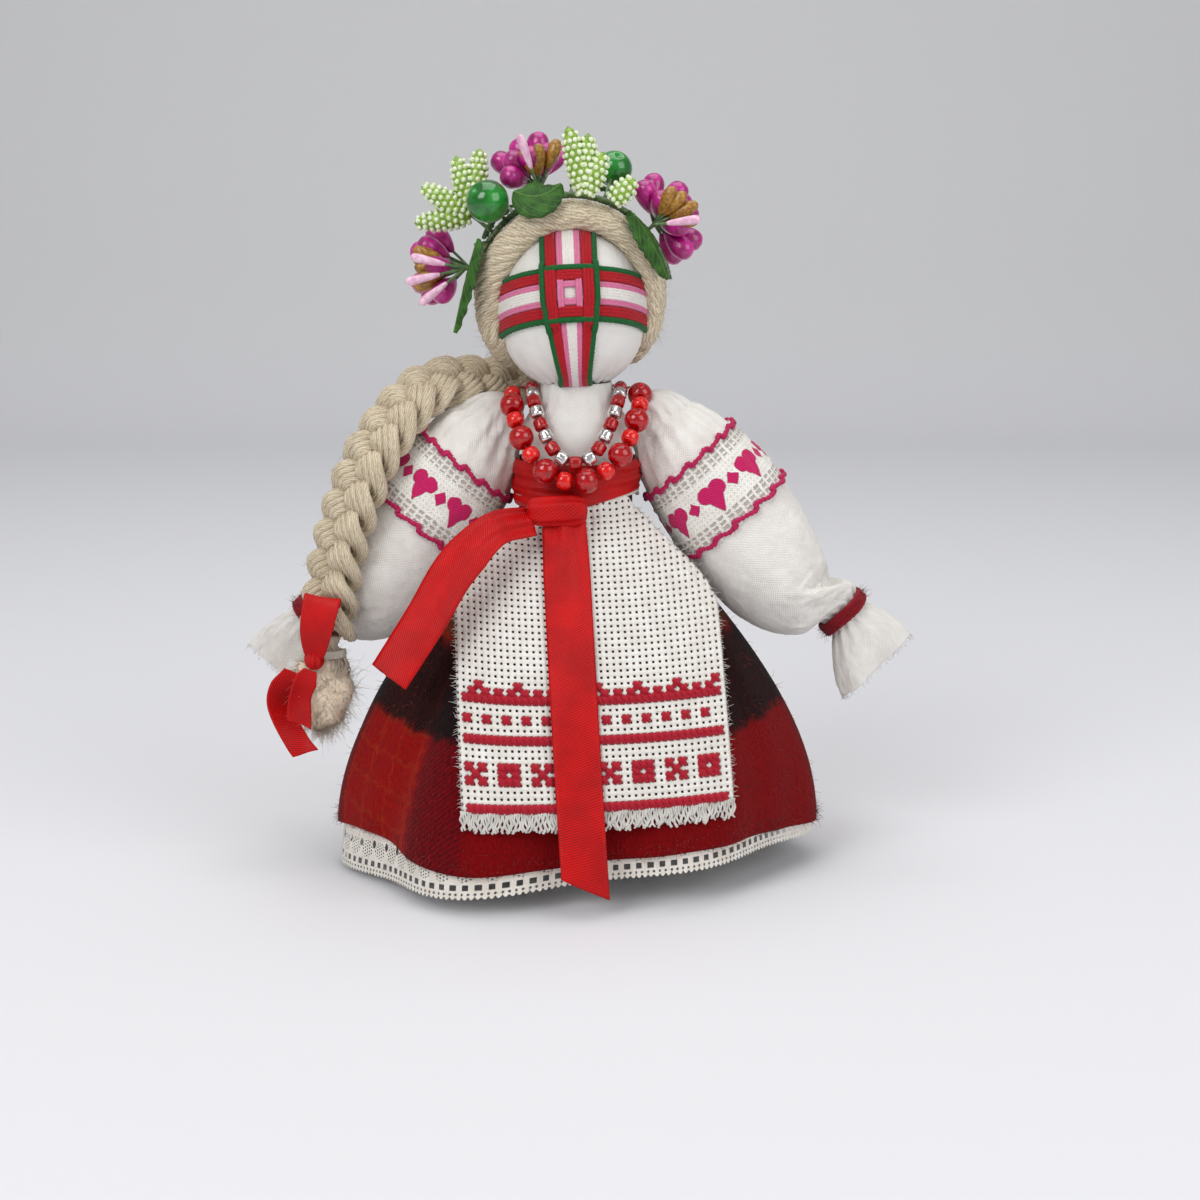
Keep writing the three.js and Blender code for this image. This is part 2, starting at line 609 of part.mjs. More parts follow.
function arm(name, side, drop, pivotZ) {
  const group = new THREE.Group();
  group.name = `${name}_arm`;
  group.position.set(side * SHOULDER_PIVOT_X, SHOULDER_PIVOT_Y, pivotZ);
  group.rotation.y = radians(side > 0 ? drop : 180 - drop);
  const outside = sleeveStations.map((s) => sleeveRing(s, 0, side));
  const inside = liningStations.map((s) => sleeveRing(s, SLEEVE_CLOTH, side));
  add(group, `${name}_sleeve`, skin([...outside, ...inside.reverse()], true), WHITE_COTTON);
  const rollStations = [2, 8, 16, 26, 38, 48, 56, 61];
  const stuffing = rollStations.map((s) => sleeveRing(s, SLEEVE_CLOTH + STUFFING_SLACK, side));
  add(group, `${name}_arm_stuffing`, skin(stuffing), STUFFING);
  const trim = (offset) => trimStations.map((s) => sleeveRing(s, -offset, side));
  add(group, `${name}_sleeve_trim`, skin([...trim(GAP + SLEEVE_TRIM), ...trim(GAP).reverse()], true), LACE);
  const wrist = new THREE.Vector3(SLEEVE_LENGTH + WRIST_LENGTH / 2, 0, 0);
  add(group, `${name}_wrist_tie`, winding(
    `${name}_wrist_tie`, WRIST_HALF_WIDTH, wristHalfDepth, WRIST_TIE_TURNS, wrist, lyingTurn,
  ), BINDING);
  doll.add(group);
  return group;
}
arm("left", 1, LEFT_ARM_DROP, LEFT_PIVOT_Z);
arm("right", -1, RIGHT_ARM_DROP, RIGHT_PIVOT_Z);

// Head: a stuffed egg in cloth, leaning a little to its right
const head = new THREE.Group();
head.name = "head";
head.position.set(0, 0, NECK_TOP);
head.rotation.y = -radians(HEAD_LEAN);
doll.add(head);
function headCurve(offset, rows, opening = HEAD_OPENING) {
  return Array.from({ length: rows + 1 }, (_, i) => {
    const angle = radians(THREE.MathUtils.lerp(-opening, 90, i / rows));
    const fullness = angle < 0 ? HEAD_JAW : 1;
    const radius = (HEAD_RADIUS + offset) * Math.cos(angle) ** fullness;
    const rise = Math.sign(angle) * Math.abs(Math.sin(angle)) ** fullness;
    const height = HEAD_CENTRE + (HEAD_HALF_HEIGHT + offset) * rise;
    return new THREE.Vector2(i === rows ? 0 : radius, height);
  });
}
const headSegments = 16;
const headRows = 6;
const headSolid = (offset, opening) => {
  const curve = headCurve(offset, headRows, opening);
  return solid(turned([new THREE.Vector2(0, curve[0].y), ...curve], headSegments));
};
const innerHead = headCurve(-HEAD_CLOTH, headRows);
innerHead[0].y = headCurve(0, headRows)[0].y;
add(head, "head_cloth", turned([...innerHead.reverse(), ...headCurve(0, headRows)], headSegments), WHITE_COTTON);
add(head, "head_stuffing", fromSolid(headSolid(-HEAD_CLOTH - GAP)), STUFFING);

// Face: four colours wound upright and level, each over the colours wound before it
const FAR = 60;
const threadSpans = [
  ["white", 0, 1, WHITE_THREAD],
  ["pink", 1, 2, PINK_THREAD],
  ["red", 2, 4, RED_THREAD],
  ["green", 4, 5, GREEN_THREAD],
];
const chinZ = HEAD_CENTRE - HEAD_HALF_HEIGHT;
function uprightBand(from, to) {
  const narrow = CROSS_CHIN_NARROWING;
  const bend = HEAD_CENTRE - 5;
  const outline = new THREE.Shape([
    new THREE.Vector2(from * narrow, chinZ),
    new THREE.Vector2(to * narrow, chinZ),
    new THREE.Vector2(to, bend),
    new THREE.Vector2(to, FAR),
    new THREE.Vector2(from, FAR),
    new THREE.Vector2(from, bend),
  ]);
  const slab = new THREE.ExtrudeGeometry(outline, { depth: FAR, bevelEnabled: false });
  return solid(slab.rotateX(Math.PI / 2).translate(0, FAR / 2, 0));
}
function levelBand(from, to) {
  const slab = new THREE.BoxGeometry(FAR, FAR * 2, to - from).translate(0, 0, (from + to) / 2);
  slab.rotateX(-radians(CROSS_TILT)).translate(0, -HEAD_RADIUS, CROSS_CENTRE);
  return solid(slab);
}
const bothSides = (make, from, to) => (
  from > 0 ? make(from, to).add(make(-to, -from)) : make(-to, to)
);
const threadBands = (first, last, grow) => {
  const from = first === 0 ? 0 : first * FACE_THREAD + FACE_THREAD_GAP / 2 - grow;
  const to = last * FACE_THREAD - FACE_THREAD_GAP / 2 + grow;
  return [bothSides(uprightBand, from, to), bothSides(levelBand, from, to)];
};
const threadBase = 0.15;
const chin = solid(new THREE.BoxGeometry(FAR, FAR, 20).translate(0, 0, 1.2 - 10));
const lowHead = headSolid(threadBase + FACE_THREAD_HEIGHT).subtract(chin);
const highHead = headSolid(threadBase + 2 * FACE_THREAD_HEIGHT + FACE_THREAD_GAP);
const threadFloor = headSolid(threadBase);
const frontHalf = solid(new THREE.BoxGeometry(FAR, FAR, FAR * 2).translate(0, -FAR / 2, 0));
const tunnelHead = headSolid(threadBase + FACE_THREAD_HEIGHT + FACE_THREAD_GAP);
let laidThreads = null;
for (const [colour, first, last, look] of threadSpans) {
  const [upright, level] = threadBands(first, last, 0);
  let thread = lowHead.intersect(upright.add(level));
  if (laidThreads) {
    const reach = first * FACE_THREAD + 0.5;
    const over = upright.intersect(levelBand(-reach, reach)).add(level.intersect(uprightBand(-reach, reach)));
    thread = thread.add(highHead.intersect(over).intersect(frontHalf)).subtract(laidThreads);
  }
  add(head, `face_thread_${colour}`, fromSolid(thread.subtract(threadFloor)), look);
  const grown = join(threadBands(first, last, FACE_THREAD_GAP)).intersect(tunnelHead);
  laidThreads = laidThreads ? laidThreads.add(grown) : grown;
}

// Hair: yarn laid from ear to ear, open over the face, drawn to a bunch at the nape
const hairCentre = HEAD_CENTRE + 1;
const hairRadius = HEAD_RADIUS + HAIR_THICKNESS;
const hairHeight = HEAD_HALF_HEIGHT + HAIR_THICKNESS - 1;
const hairGeometry = new THREE.SphereGeometry(1, HAIR_STRANDS * 3, 8).rotateZ(Math.PI / 2);
const hairPoints = hairGeometry.attributes.position;
for (let i = 0; i < hairPoints.count; i++) {
  const p = new THREE.Vector3().fromBufferAttribute(hairPoints, i);
  const around = Math.atan2(p.z, p.y);
  const groove = (1 - Math.abs(Math.cos((HAIR_STRANDS * around) / 2))) * Math.sqrt(1 - Math.min(p.x ** 2, 1));
  const swell = 1 - (HAIR_STRAND_DEPTH / hairRadius) * groove;
  hairPoints.setXYZ(i, p.x * hairRadius * swell, p.y * hairRadius * swell, p.z * hairHeight * swell + hairCentre);
}
const frontCut = new THREE.BoxGeometry(FAR * 2, FAR, FAR * 3)
  .translate(0, -FAR / 2, 0)
  .rotateX(radians(HAIR_FRONT_LEAN))
  .translate(0, HAIR_FRONT, HEAD_CENTRE);
const lowerCut = new THREE.BoxGeometry(FAR * 2, FAR * 3, FAR)
  .translate(0, 0, -FAR / 2)
  .rotateX(-radians(HAIR_LOWER_SLOPE))
  .translate(0, HAIR_FRONT, HAIR_LOWER_EDGE);
const hairInside = headSolid(threadBase + FACE_THREAD_HEIGHT + GAP);
const napeTop = new THREE.Vector3(-2, 17, 13);
const napeEnd = new THREE.Vector3(-7, 18.5, 3.4);
const napeDirection = napeEnd.clone().sub(napeTop);
const napeBunch = laid(
  new THREE.CylinderGeometry(5, 6.5, napeDirection.length(), 10).rotateX(Math.PI / 2)
    .translate(0, 0, napeDirection.length() / 2),
  napeTop,
  napeDirection.clone().normalize(),
);
const hair = solid(hairGeometry)
  .subtract(solid(frontCut))
  .subtract(solid(lowerCut))
  .add(solid(napeBunch))
  .subtract(hairInside);
add(head, "hair", fromSolid(hair), YARN);

// Wreath: a wire over the head with leaves, berries, sprigs and bunches of stamens bound to it
const wireRadius = hairRadius + GAP + WREATH_WIRE_RADIUS;
const wireHeight = hairHeight + GAP + WREATH_WIRE_RADIUS;
const wreathPoint = (degrees, lift, depth) => {
  const angle = radians(degrees);
  return new THREE.Vector3(
    (wireRadius + lift) * Math.cos(angle),
    depth,
    hairCentre + (wireHeight + lift) * Math.sin(angle),
  );
};
const planar = (degrees, lean = 0) => new THREE.Vector3(
  Math.cos(radians(degrees)) * Math.cos(radians(lean)),
  Math.sin(radians(lean)),
  Math.sin(radians(degrees)) * Math.cos(radians(lean)),
);
const wirePoints = Array.from({ length: 13 }, (_, i) => wreathPoint(8 + (164 * i) / 12, 0, WREATH_DEPTH));
add(head, "wreath_wire", tube(new THREE.CatmullRomCurve3(wirePoints), WREATH_WIRE_RADIUS, 20, 6), LEAF_GREEN);

// Every ornament has a stem that runs from its base to the wire it is bound to.
const clearOfWire = WREATH_WIRE_RADIUS + GAP;
function stem(degrees, base) {
  const wire = wreathPoint(degrees, 0, WREATH_DEPTH);
  const direction = base.clone().sub(wire).normalize();
  const start = wire.addScaledVector(direction, clearOfWire);
  const length = start.distanceTo(base);
  const rod = new THREE.CylinderGeometry(STEM_RADIUS, STEM_RADIUS, length, 5)
    .rotateX(Math.PI / 2)
    .translate(0, 0, length / 2);
  return solid(laid(rod, start, direction));
}
const stamenProfile = (reach, radius, length) => [
  new THREE.Vector2(0, 0),
  new THREE.Vector2(STAMEN_WIRE, 0.2),
  new THREE.Vector2(STAMEN_WIRE, reach),
  new THREE.Vector2(radius, reach + length * 0.6),
  new THREE.Vector2(radius * 0.6, reach + length * 0.92),
  new THREE.Vector2(0, reach + length),
];
function stamens(degrees, depth, directions, reach, radius, length, lean) {
  const knob = 1.5;
  const base = wreathPoint(degrees, clearOfWire + knob, depth);
  const ball = new THREE.OctahedronGeometry(knob).translate(base.x, base.y, base.z);
  const parts = [solid(ball), stem(degrees, base)];
  directions.forEach((angle, i) => {
    const stamen = turned(stamenProfile(reach, radius, length), 4);
    parts.push(solid(laid(stamen, base, planar(angle, lean * (i % 2)))));
  });
  return fromSolid(join(parts));
}
const fan = (from, to, count) => Array.from({ length: count }, (_, i) => (
  THREE.MathUtils.lerp(from, to, count > 1 ? i / (count - 1) : 0.5)
));
const bunches = [
  ["left", 161, 6, fan(136, 224, 6), fan(158, 202, 3), fan(168, 216, 2)],
  ["top", 104, 4.8, fan(60, 155, 6), fan(64, 106, 2), fan(104, 104, 1)],
  ["right", 38, 3.8, fan(-60, 104, 7), fan(4, 60, 2), fan(10, 10, 1)],
];
for (const [name, degrees, reach, pink, gold, pale] of bunches) {
  add(head, `stamens_pink_${name}`, stamens(degrees, 9, pink, reach, BUD_RADIUS, BUD_LENGTH, 24), PINK_PETAL);
  const grains = stamens(degrees, 1.8, gold, reach, GRAIN_RADIUS, GRAIN_LENGTH, -6);
  add(head, `stamens_gold_${name}`, grains, GOLD_GRAIN);
  const catkins = stamens(degrees, -4, pale, reach, CATKIN_RADIUS, CATKIN_LENGTH, -8);
  add(head, `stamens_pale_${name}`, catkins, PALE_PETAL);
}

function berry(degrees, lift, depth, radius) {
  const centre = wreathPoint(degrees, clearOfWire + lift + radius, depth);
  const ball = new THREE.SphereGeometry(radius, 10, 7).translate(centre.x, centre.y, centre.z);
  return fromSolid(solid(ball).add(stem(degrees, centre)));
}
add(head, "berry_left", berry(128, 0, -5, BERRY_RADIUS), BERRY_GREEN);
add(head, "berry_right", berry(68, 2.5, 13, SMALL_BERRY_RADIUS), BERRY_GREEN);

function sprig(degrees, lift, depth, fingers) {
  const base = wreathPoint(degrees, clearOfWire + lift, depth);
  const parts = fingers.map(([angle, length, lean]) => {
    const beads = 2;
    const profile = [new THREE.Vector2(0, -SPRIG_RADIUS * 0.6)];
    for (let i = 0; i <= beads * 2; i++) {
      const share = i / (beads * 2);
      const taper = 1 - 0.45 * share ** 2;
      profile.push(new THREE.Vector2(SPRIG_RADIUS * taper * (i % 2 ? 1 : 0.72), length * 0.95 * share));
    }
    profile.push(new THREE.Vector2(0, length));
    return solid(laid(turned(profile, 5), base, planar(angle, lean)));
  });
  return fromSolid(join([stem(degrees, base), ...parts]));
}
const leftFingers = [[185, 14.5, 0], [148, 14.3, 0], [102, 15, 4], [80, 16.5, 8]];
add(head, "sprig_left", sprig(138, 5.9, 3, leftFingers), SPRIG_FOAM);
add(head, "sprig_top", sprig(79, -1, -10, [[101, 17, 4], [84, 15, 8], [63, 11.5, 4]]), SPRIG_FOAM);
add(head, "sprig_right", sprig(64, -0.7, -9, [[41, 8, 0]]), SPRIG_FOAM);

function leaf(stations, face) {
  const bend = new THREE.QuadraticBezierCurve3(...stations.map((station) => wreathPoint(...station)));
  const blade = sweep(sample(bend, 6), () => face, (t) => {
    const half = 0.3 + (LEAF_WIDTH / 2) * Math.sin(Math.PI * Math.min(Math.max(t, 0.03), 0.97)) ** 0.8;
    const rise = LEAF_THICKNESS / 2;
    return [[-half, 0], [0, -rise - half * 0.12], [half, 0], [0, rise - half * 0.12]];
  });
  return fromSolid(solid(blade).add(stem(stations[0][0], bend.getPoint(0.06))));
}
const leaves = {
  leaf_left: [[[144, 2.4, -8.5], [164, 1.2, -10], [191, 5, -9]], planar(180, -30)],
  leaf_top_left: [[[122, 2.2, 14], [133, 4.5, 18], [146, 2.4, 20]], planar(135)],
  leaf_top: [[[115, 4.5, -10], [105, -1, -12.5], [92, 3, -10]], planar(105, -45)],
  leaf_top_right: [[[88, 2.4, 16], [76, 4.5, 18.5], [64, 2.6, 20]], planar(76)],
  leaf_right: [[[53, 1, -8], [33, 0, -10.5], [11, -0.6, -9.5]], planar(32, -25)],
};
for (const [name, [stations, face]] of Object.entries(leaves)) {
  add(head, name, leaf(stations, face), LEAF_GREEN);
}

// Plait: three strands crossing in turn, from the nape over the right shoulder to the right wrist
const plaitCurve = new THREE.CatmullRomCurve3([
  new THREE.Vector3(-11, 20, 118),
  new THREE.Vector3(-22, 14, 120.2),
  new THREE.Vector3(-37, 2.8, 120.4),
  new THREE.Vector3(-48.6, -8.4, 108),
  new THREE.Vector3(-55.6, -12.8, 92),
  new THREE.Vector3(-60, -13, 76),
  new THREE.Vector3(-62, -12.5, 62),
]);
const plaitSteps = 30;
const plaitSpine = Array.from({ length: plaitSteps + 1 }, (_, i) => plaitCurve.getPointAt(i / plaitSteps));
const plaitOut = new THREE.Vector3(-0.45, -0.75, 0.45).normalize();
const plaitFrames = plaitSpine.map((_, i) => {
  const along = plaitCurve.getTangentAt(i / plaitSteps);
  const side = along.clone().cross(plaitOut).normalize();
  return { side, out: side.clone().cross(along) };
});
for (let strand = 0; strand < 3; strand++) {
  const points = plaitSpine.map((p, i) => {
    const phase = TAU * ((PLAIT_PERIODS * i) / plaitSteps + strand / 3);
    return p.clone()
      .addScaledVector(plaitFrames[i].side, PLAIT_HALF_WIDTH * Math.sin(phase))
      .addScaledVector(plaitFrames[i].out, PLAIT_HALF_DEPTH * Math.sin(2 * phase));
  });
  const name = `plait_strand_${strand + 1}`;
  add(doll, name, sweep(points, (i) => plaitFrames[i].out, () => polygon(PLAIT_STRAND_RADIUS, 6)), YARN);
}

// End of the plait: the bound tuft with its ribbon bow
const plaitEnd = plaitSpine[plaitSteps].clone().add(new THREE.Vector3(-0.2, 0, -PLAIT_STRAND_RADIUS - GAP));
const tuftDirection = new THREE.Vector3(-0.1, -0.04, -1).normalize();
const tuftNeck = 5;
const tuftProfile = [[0, 4.2], [0.1, 3.4], [0.24, 3.2], [0.42, 5.6], [0.72, TUFT_RADIUS], [1, TUFT_RADIUS * 0.86]];
const tuftRings = tuftProfile.map(([share, radius]) => {
  const centre = plaitEnd.clone().addScaledVector(tuftDirection, share * (TUFT_LENGTH + tuftNeck));
  return Array.from({ length: 12 }, (_, i) => {
    const angle = (TAU * i) / 12;
    const rough = 1 + 0.1 * share * Math.cos(6 * angle);
    return centre.clone().add(new THREE.Vector3(
      radius * rough * Math.cos(angle),
      radius * 0.62 * rough * Math.sin(angle),
      0,
    ));
  });
});
add(doll, "plait_tuft", skin(tuftRings), YARN);
const tieCentre = plaitEnd.clone().addScaledVector(tuftDirection, 0.17 * (TUFT_LENGTH + tuftNeck));
add(doll, "plait_tie", winding("plait_tie", 3.7, 2.5, PLAIT_TIE_TURNS, tieCentre, level), BINDING);

const bowKnotReach = 2.5 + GAP * 2 + TIE_THREAD + BOW_KNOT_RADIUS;
const bowKnot = tieCentre.clone().add(new THREE.Vector3(-2.2, -bowKnotReach, 0));
const bowKnotGeometry = new THREE.SphereGeometry(BOW_KNOT_RADIUS, 7, 5)
  .translate(bowKnot.x, bowKnot.y, bowKnot.z);
const bowLoopPoints = sample(new THREE.CatmullRomCurve3([
  [0.2, -1.2, 1.2],
  [1.2, -4, 8],
  [2.4, -3.4, 14],
  [2.8, -1.6, 16],
  [2.4, -0.4, 14],
  [1, -0.1, 7.5],
  [0.2, 0.1, 1.2],
].map(([x, y, z]) => bowKnot.clone().add(new THREE.Vector3(x, y, z)))), 14);
const bowLoopMiddle = new THREE.Box3().setFromPoints(bowLoopPoints).getCenter(new THREE.Vector3());
const bowLoop = sweep(
  bowLoopPoints,
  (i) => bowLoopPoints[i].clone().sub(bowLoopMiddle),
  () => flat(BOW_LOOP_WIDTH, RIBBON_THICKNESS),
);
add(doll, "bow_loop", fromSolid(solid(bowLoop).add(solid(bowKnotGeometry))), SATIN);
const bowTail = (steps) => new THREE.CatmullRomCurve3(steps.map(([x, y, z]) => (
  bowKnot.clone().add(new THREE.Vector3(x, y, z))
)));
const bowFront = bowTail([[-0.9, -0.8, -2.5], [-3.5, -2.2, -9], [-3.8, -2.4, -17]]);
add(doll, "bow_tail_front", sweep(
  sample(bowFront, 6), () => forward, () => flat(BOW_RIBBON, RIBBON_THICKNESS),
), SATIN);
const bowBack = bowTail([[-6, 0.8, -3], [-9.5, 0.6, -11], [-5, 0.2, -21], [-2, 0, -25]]);
add(doll, "bow_tail_back", sweep(
  sample(bowBack, 8), () => forward, () => flat(BOW_RIBBON, RIBBON_THICKNESS),
), SATIN);

// Beads: each string runs through its beads and is tied behind the neck
function beadString(points, beads) {
  const path = new THREE.CatmullRomCurve3(points);
  const beaded = beads.reduce((sum, diameter) => sum + diameter, 0);
  const total = path.getLength();
  const bare = (total - beaded) / 2 / total;
  const stations = [0, 0.25, 0.5, 0.75].map((share) => [share * bare, STRING_RADIUS]);
  let start = bare * total;
  for (const diameter of beads) {
    for (const share of [0.04, 0.3, 0.7, 0.96]) {
      const swell = Math.sqrt(1 - (2 * share - 1) ** 2);
      stations.push([(start + share * diameter) / total, Math.max((diameter / 2) * swell, STRING_RADIUS)]);
    }
    start += diameter;
  }
  stations.push(...[0.75, 0.5, 0.25, 0].map((share) => [1 - share * bare, STRING_RADIUS]));
  const centres = stations.map(([at]) => path.getPointAt(at));
  const middle = new THREE.Box3().setFromPoints(centres).getCenter(new THREE.Vector3());
  const outwards = centres.map((p) => p.clone().sub(middle).normalize());
  return sweep(centres, (i) => outwards[i], (_, i) => polygon(stations[i][1], 5));
}
const mirrored = (half) => [
  ...half.map(([x, y, z]) => new THREE.Vector3(-x, y, z)),
  ...half.slice(0, -1).reverse().map(([x, y, z]) => new THREE.Vector3(x, y, z)),
];
const outerBeads = Array.from({ length: OUTER_BEAD_PAIRS * 2 }, (_, i) => (i % 2 ? LARGE_BEAD : SMALL_BEAD));
add(doll, "beads_outer", beadString(mirrored([
  [1, 13.2, 117.2], [9, 10.6, 119], [15, 3, 120.3], [15.6, -7.6, 116.4], [12.2, -15.6, 108.2],
  [6.2, -19.3, 101.8], [0, -20.05, 100.2],
]), outerBeads), RED_GLASS);
const seedBeads = Array.from({ length: SEED_BEADS }, () => SEED_BEAD);
add(doll, "beads_inner", beadString(mirrored([
  [0.8, 9.5, 119.4], [7.8, 8.6, 120.2], [10.9, 0, 121.2], [10.2, -8.8, 118], [8, -14, 112],
  [4.4, -17.6, 106.4], [0, -18.6, 104.5],
]), seedBeads), SEED_GLASS);

export default doll;
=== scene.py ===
import json

import bmesh
import bpy
import numpy as np
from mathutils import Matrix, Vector


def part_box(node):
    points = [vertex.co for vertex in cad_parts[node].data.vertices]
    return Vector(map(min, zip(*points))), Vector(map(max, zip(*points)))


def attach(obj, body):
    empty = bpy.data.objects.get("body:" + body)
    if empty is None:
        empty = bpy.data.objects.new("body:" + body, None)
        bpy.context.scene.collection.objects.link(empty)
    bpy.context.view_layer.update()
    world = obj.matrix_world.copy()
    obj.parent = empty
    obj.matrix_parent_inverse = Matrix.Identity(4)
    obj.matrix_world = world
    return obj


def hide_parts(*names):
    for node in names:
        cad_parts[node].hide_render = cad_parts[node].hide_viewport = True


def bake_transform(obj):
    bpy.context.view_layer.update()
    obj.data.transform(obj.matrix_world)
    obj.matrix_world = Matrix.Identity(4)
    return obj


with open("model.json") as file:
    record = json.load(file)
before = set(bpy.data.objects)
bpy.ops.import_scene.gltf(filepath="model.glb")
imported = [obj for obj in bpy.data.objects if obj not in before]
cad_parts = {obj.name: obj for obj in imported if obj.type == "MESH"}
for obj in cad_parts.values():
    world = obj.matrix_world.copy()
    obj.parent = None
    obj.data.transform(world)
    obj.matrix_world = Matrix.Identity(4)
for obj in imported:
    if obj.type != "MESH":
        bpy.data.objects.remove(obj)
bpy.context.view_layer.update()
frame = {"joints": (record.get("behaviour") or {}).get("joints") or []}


# Wound core.
# A strip of plain cotton rolled tightly round itself. It stands on its lower edge and carries all the rest.
# Nothing but the bindings round the neck and the waist keeps it rolled.

# Lengths here are millimetres until surface() turns them into metres.
MM = 0.001
TURN = 2 * np.pi


def span(node):
    """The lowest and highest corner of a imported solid, in millimetres."""
    low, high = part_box(node)
    return np.array(low) / MM, np.array(high) / MM


def spread(*parts):
    """Coordinates that each fill some ways of a grid, spread over all of it and stacked as its points."""
    return np.stack(np.broadcast_arrays(*parts), axis=-1)


def oval(angle, wide, deep, level):
    """Points round the upright axis: (wide x cos(angle), deep x sin(angle), level)."""
    return spread(wide * np.cos(angle), deep * np.sin(angle), level)


def along(path):
    """Distance from the first point of a path (..., points, 3) to each of its points."""
    steps = np.linalg.norm(np.diff(path, axis=-2), axis=-1)
    return np.concatenate([np.zeros(steps.shape[:-1] + (1,)), np.cumsum(steps, axis=-1)], axis=-1)


def surface(name, points, uv, keep=None):
    """Joins each point of a grid (rows, columns, 3), or of several grids stacked in front, to the next along
    both ways by quads, leaving out those that keep says no to. Points that coincide merge, so seams close."""
    grids = np.asarray(points, float)
    grids = grids.reshape((-1,) + grids.shape[-3:])
    index = np.arange(grids[..., 0].size).reshape(grids.shape[:3])
    quads = spread(index[:, :-1, :-1], index[:, :-1, 1:], index[:, 1:, 1:], index[:, 1:, :-1])
    quads = quads.reshape(-1, 4) if keep is None else quads[np.broadcast_to(keep, quads.shape[:3])]
    mesh = bpy.data.meshes.new(name)
    mesh.vertices.add(index.size)
    mesh.vertices.foreach_set("co", (grids * MM).astype(np.float32).ravel())
    mesh.loops.add(quads.size)
    mesh.loops.foreach_set("vertex_index", quads.astype(np.int32).ravel())
    mesh.polygons.add(len(quads))
    mesh.polygons.foreach_set("loop_start", np.arange(0, quads.size, 4, dtype=np.int32))
    mesh.polygons.foreach_set("use_smooth", np.ones(len(quads), bool))
    flat = np.broadcast_to(uv, np.shape(points)[:-1] + (2,)).reshape(-1, 2)
    layer = mesh.uv_layers.new(name="UVMap")
    layer.data.foreach_set("uv", flat[quads.ravel()].astype(np.float32).ravel())
    mesh.update(calc_edges=True)
    work = bmesh.new()
    work.from_mesh(mesh)
    bmesh.ops.remove_doubles(work, verts=work.verts, dist=2e-7)
    bmesh.ops.delete(work, geom=[corner for corner in work.verts if not corner.link_faces], context="VERTS")
    bmesh.ops.recalc_face_normals(work, faces=work.faces)
    work.to_mesh(mesh)
    work.free()
    piece = bpy.data.objects.new(name, mesh)
    bpy.context.scene.collection.objects.link(piece)
    return piece


def thicken(piece, cloth, offset=-1.0):
    """Gives a sheet the thickness of its cloth. Offset -1 grows it inwards, 0 both ways."""
    solid = piece.modifiers.new("cloth", "SOLIDIFY")
    solid.thickness = cloth * MM
    solid.offset = offset


def place(piece, body, slot, made, *nodes, bend=None):
    """Gives a piece its material, parents it to the body it rides on unless bend is given, and hides the
    solids it stands for. Slot, its finish, is not used. Of bend only its presence is read: its body and two
    points are not used."""
    piece.data.materials.append(made)
    if bend:
        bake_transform(piece)
    else:
        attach(piece, body)
    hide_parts(*nodes)


class Shade:
    """One output in a material's node tree. Arithmetic on outputs and numbers adds Math nodes."""

    def __init__(self, tree, socket=None):
        self.tree = tree
        self.socket = socket

    def node(self, kind, settings, inputs, output=0):
        """Adds a node, sets its properties, feeds its inputs with outputs or constants, gives one output."""
        made = self.tree.nodes.new("ShaderNode" + kind)
        for key, value in settings.items():
            setattr(made, key, value)
        for key, value in inputs.items():
            if isinstance(value, Shade):
                self.tree.links.new(value.socket, made.inputs[key])
            else:
                made.inputs[key].default_value = value
        return Shade(self.tree, made.outputs[output])

    def math(self, operation, first, second=0.0):
        """One Math node on two values."""
        return self.node("Math", {"operation": operation}, {0: first, 1: second})

    def __add__(self, other):
        return self.math("ADD", self, other)

    def __sub__(self, other):
        return self.math("SUBTRACT", self, other)

    def __mul__(self, other):
        return self.math("MULTIPLY", self, other)

    def __truediv__(self, other):
        return self.math("DIVIDE", self, other)

    def __pow__(self, other):
        return self.math("POWER", self, other)

    def wave(self, period):
        """A sine wave of the given period."""
        return self.math("SINE", self * (TURN / period))

    def saw(self, period):
        """The distance from the middle of each repeat, from minus half the period to half of it."""
        return (self.math("FRACT", self / period) - 0.5) * period

    def size(self):
        """The value without its sign."""
        return self.math("ABSOLUTE", self)

    def most(self, other):
        """The greater of this value and another."""
        return self.math("MAXIMUM", self, other)

    def rise(self, low, high):
        """Smoothly from 0 at low to 1 at high, or the other way round where low is the greater."""
        limits = {"Value": self, "From Min": low, "From Max": high}
        return self.node("MapRange", {"interpolation_type": "SMOOTHSTEP"}, limits)

    def mix(self, first, second):
        """The first colour where this is 0, the second where it is 1."""
        return self.node("Mix", {"data_type": "RGBA"}, {0: self, 6: first, 7: second}, 2)

    def uv(self):
        """The two surface coordinates, in millimetres."""
        spot = self.node("TexCoord", {}, {}, "UV")
        across = spot.node("SeparateXYZ", {}, {0: spot})
        return across, Shade(self.tree, across.socket.node.outputs[1])

    def grain(self, grain_size, stretch=(1, 1, 1)):
        """Smooth noise from about 0 to 1, with grains of that many millimetres, drawn out by stretch."""
        spot = self.node("TexCoord", {}, {}, "Object")
        scale = tuple(1 / (grain_size * MM * share) for share in stretch)
        scaled = spot.node("VectorMath", {"operation": "MULTIPLY"}, {0: spot, 1: scale})
        return spot.node("TexNoise", {}, {"Vector": scaled, "Scale": 1.0, "Detail": 3.0})

    def bump(self):
        """A surface normal tilted by this height in millimetres."""
        return self.node("Bump", {}, {"Distance": MM, "Height": self})


def tint(red, green, blue):
    """A screen colour of 0 to 255 a channel as the linear colour that shaders use."""
    level = np.array([red, green, blue]) / 255
    linear = np.where(level <= 0.04045, level / 12.92, ((level + 0.055) / 1.055) ** 2.4)
    return tuple(linear) + (1.0,)


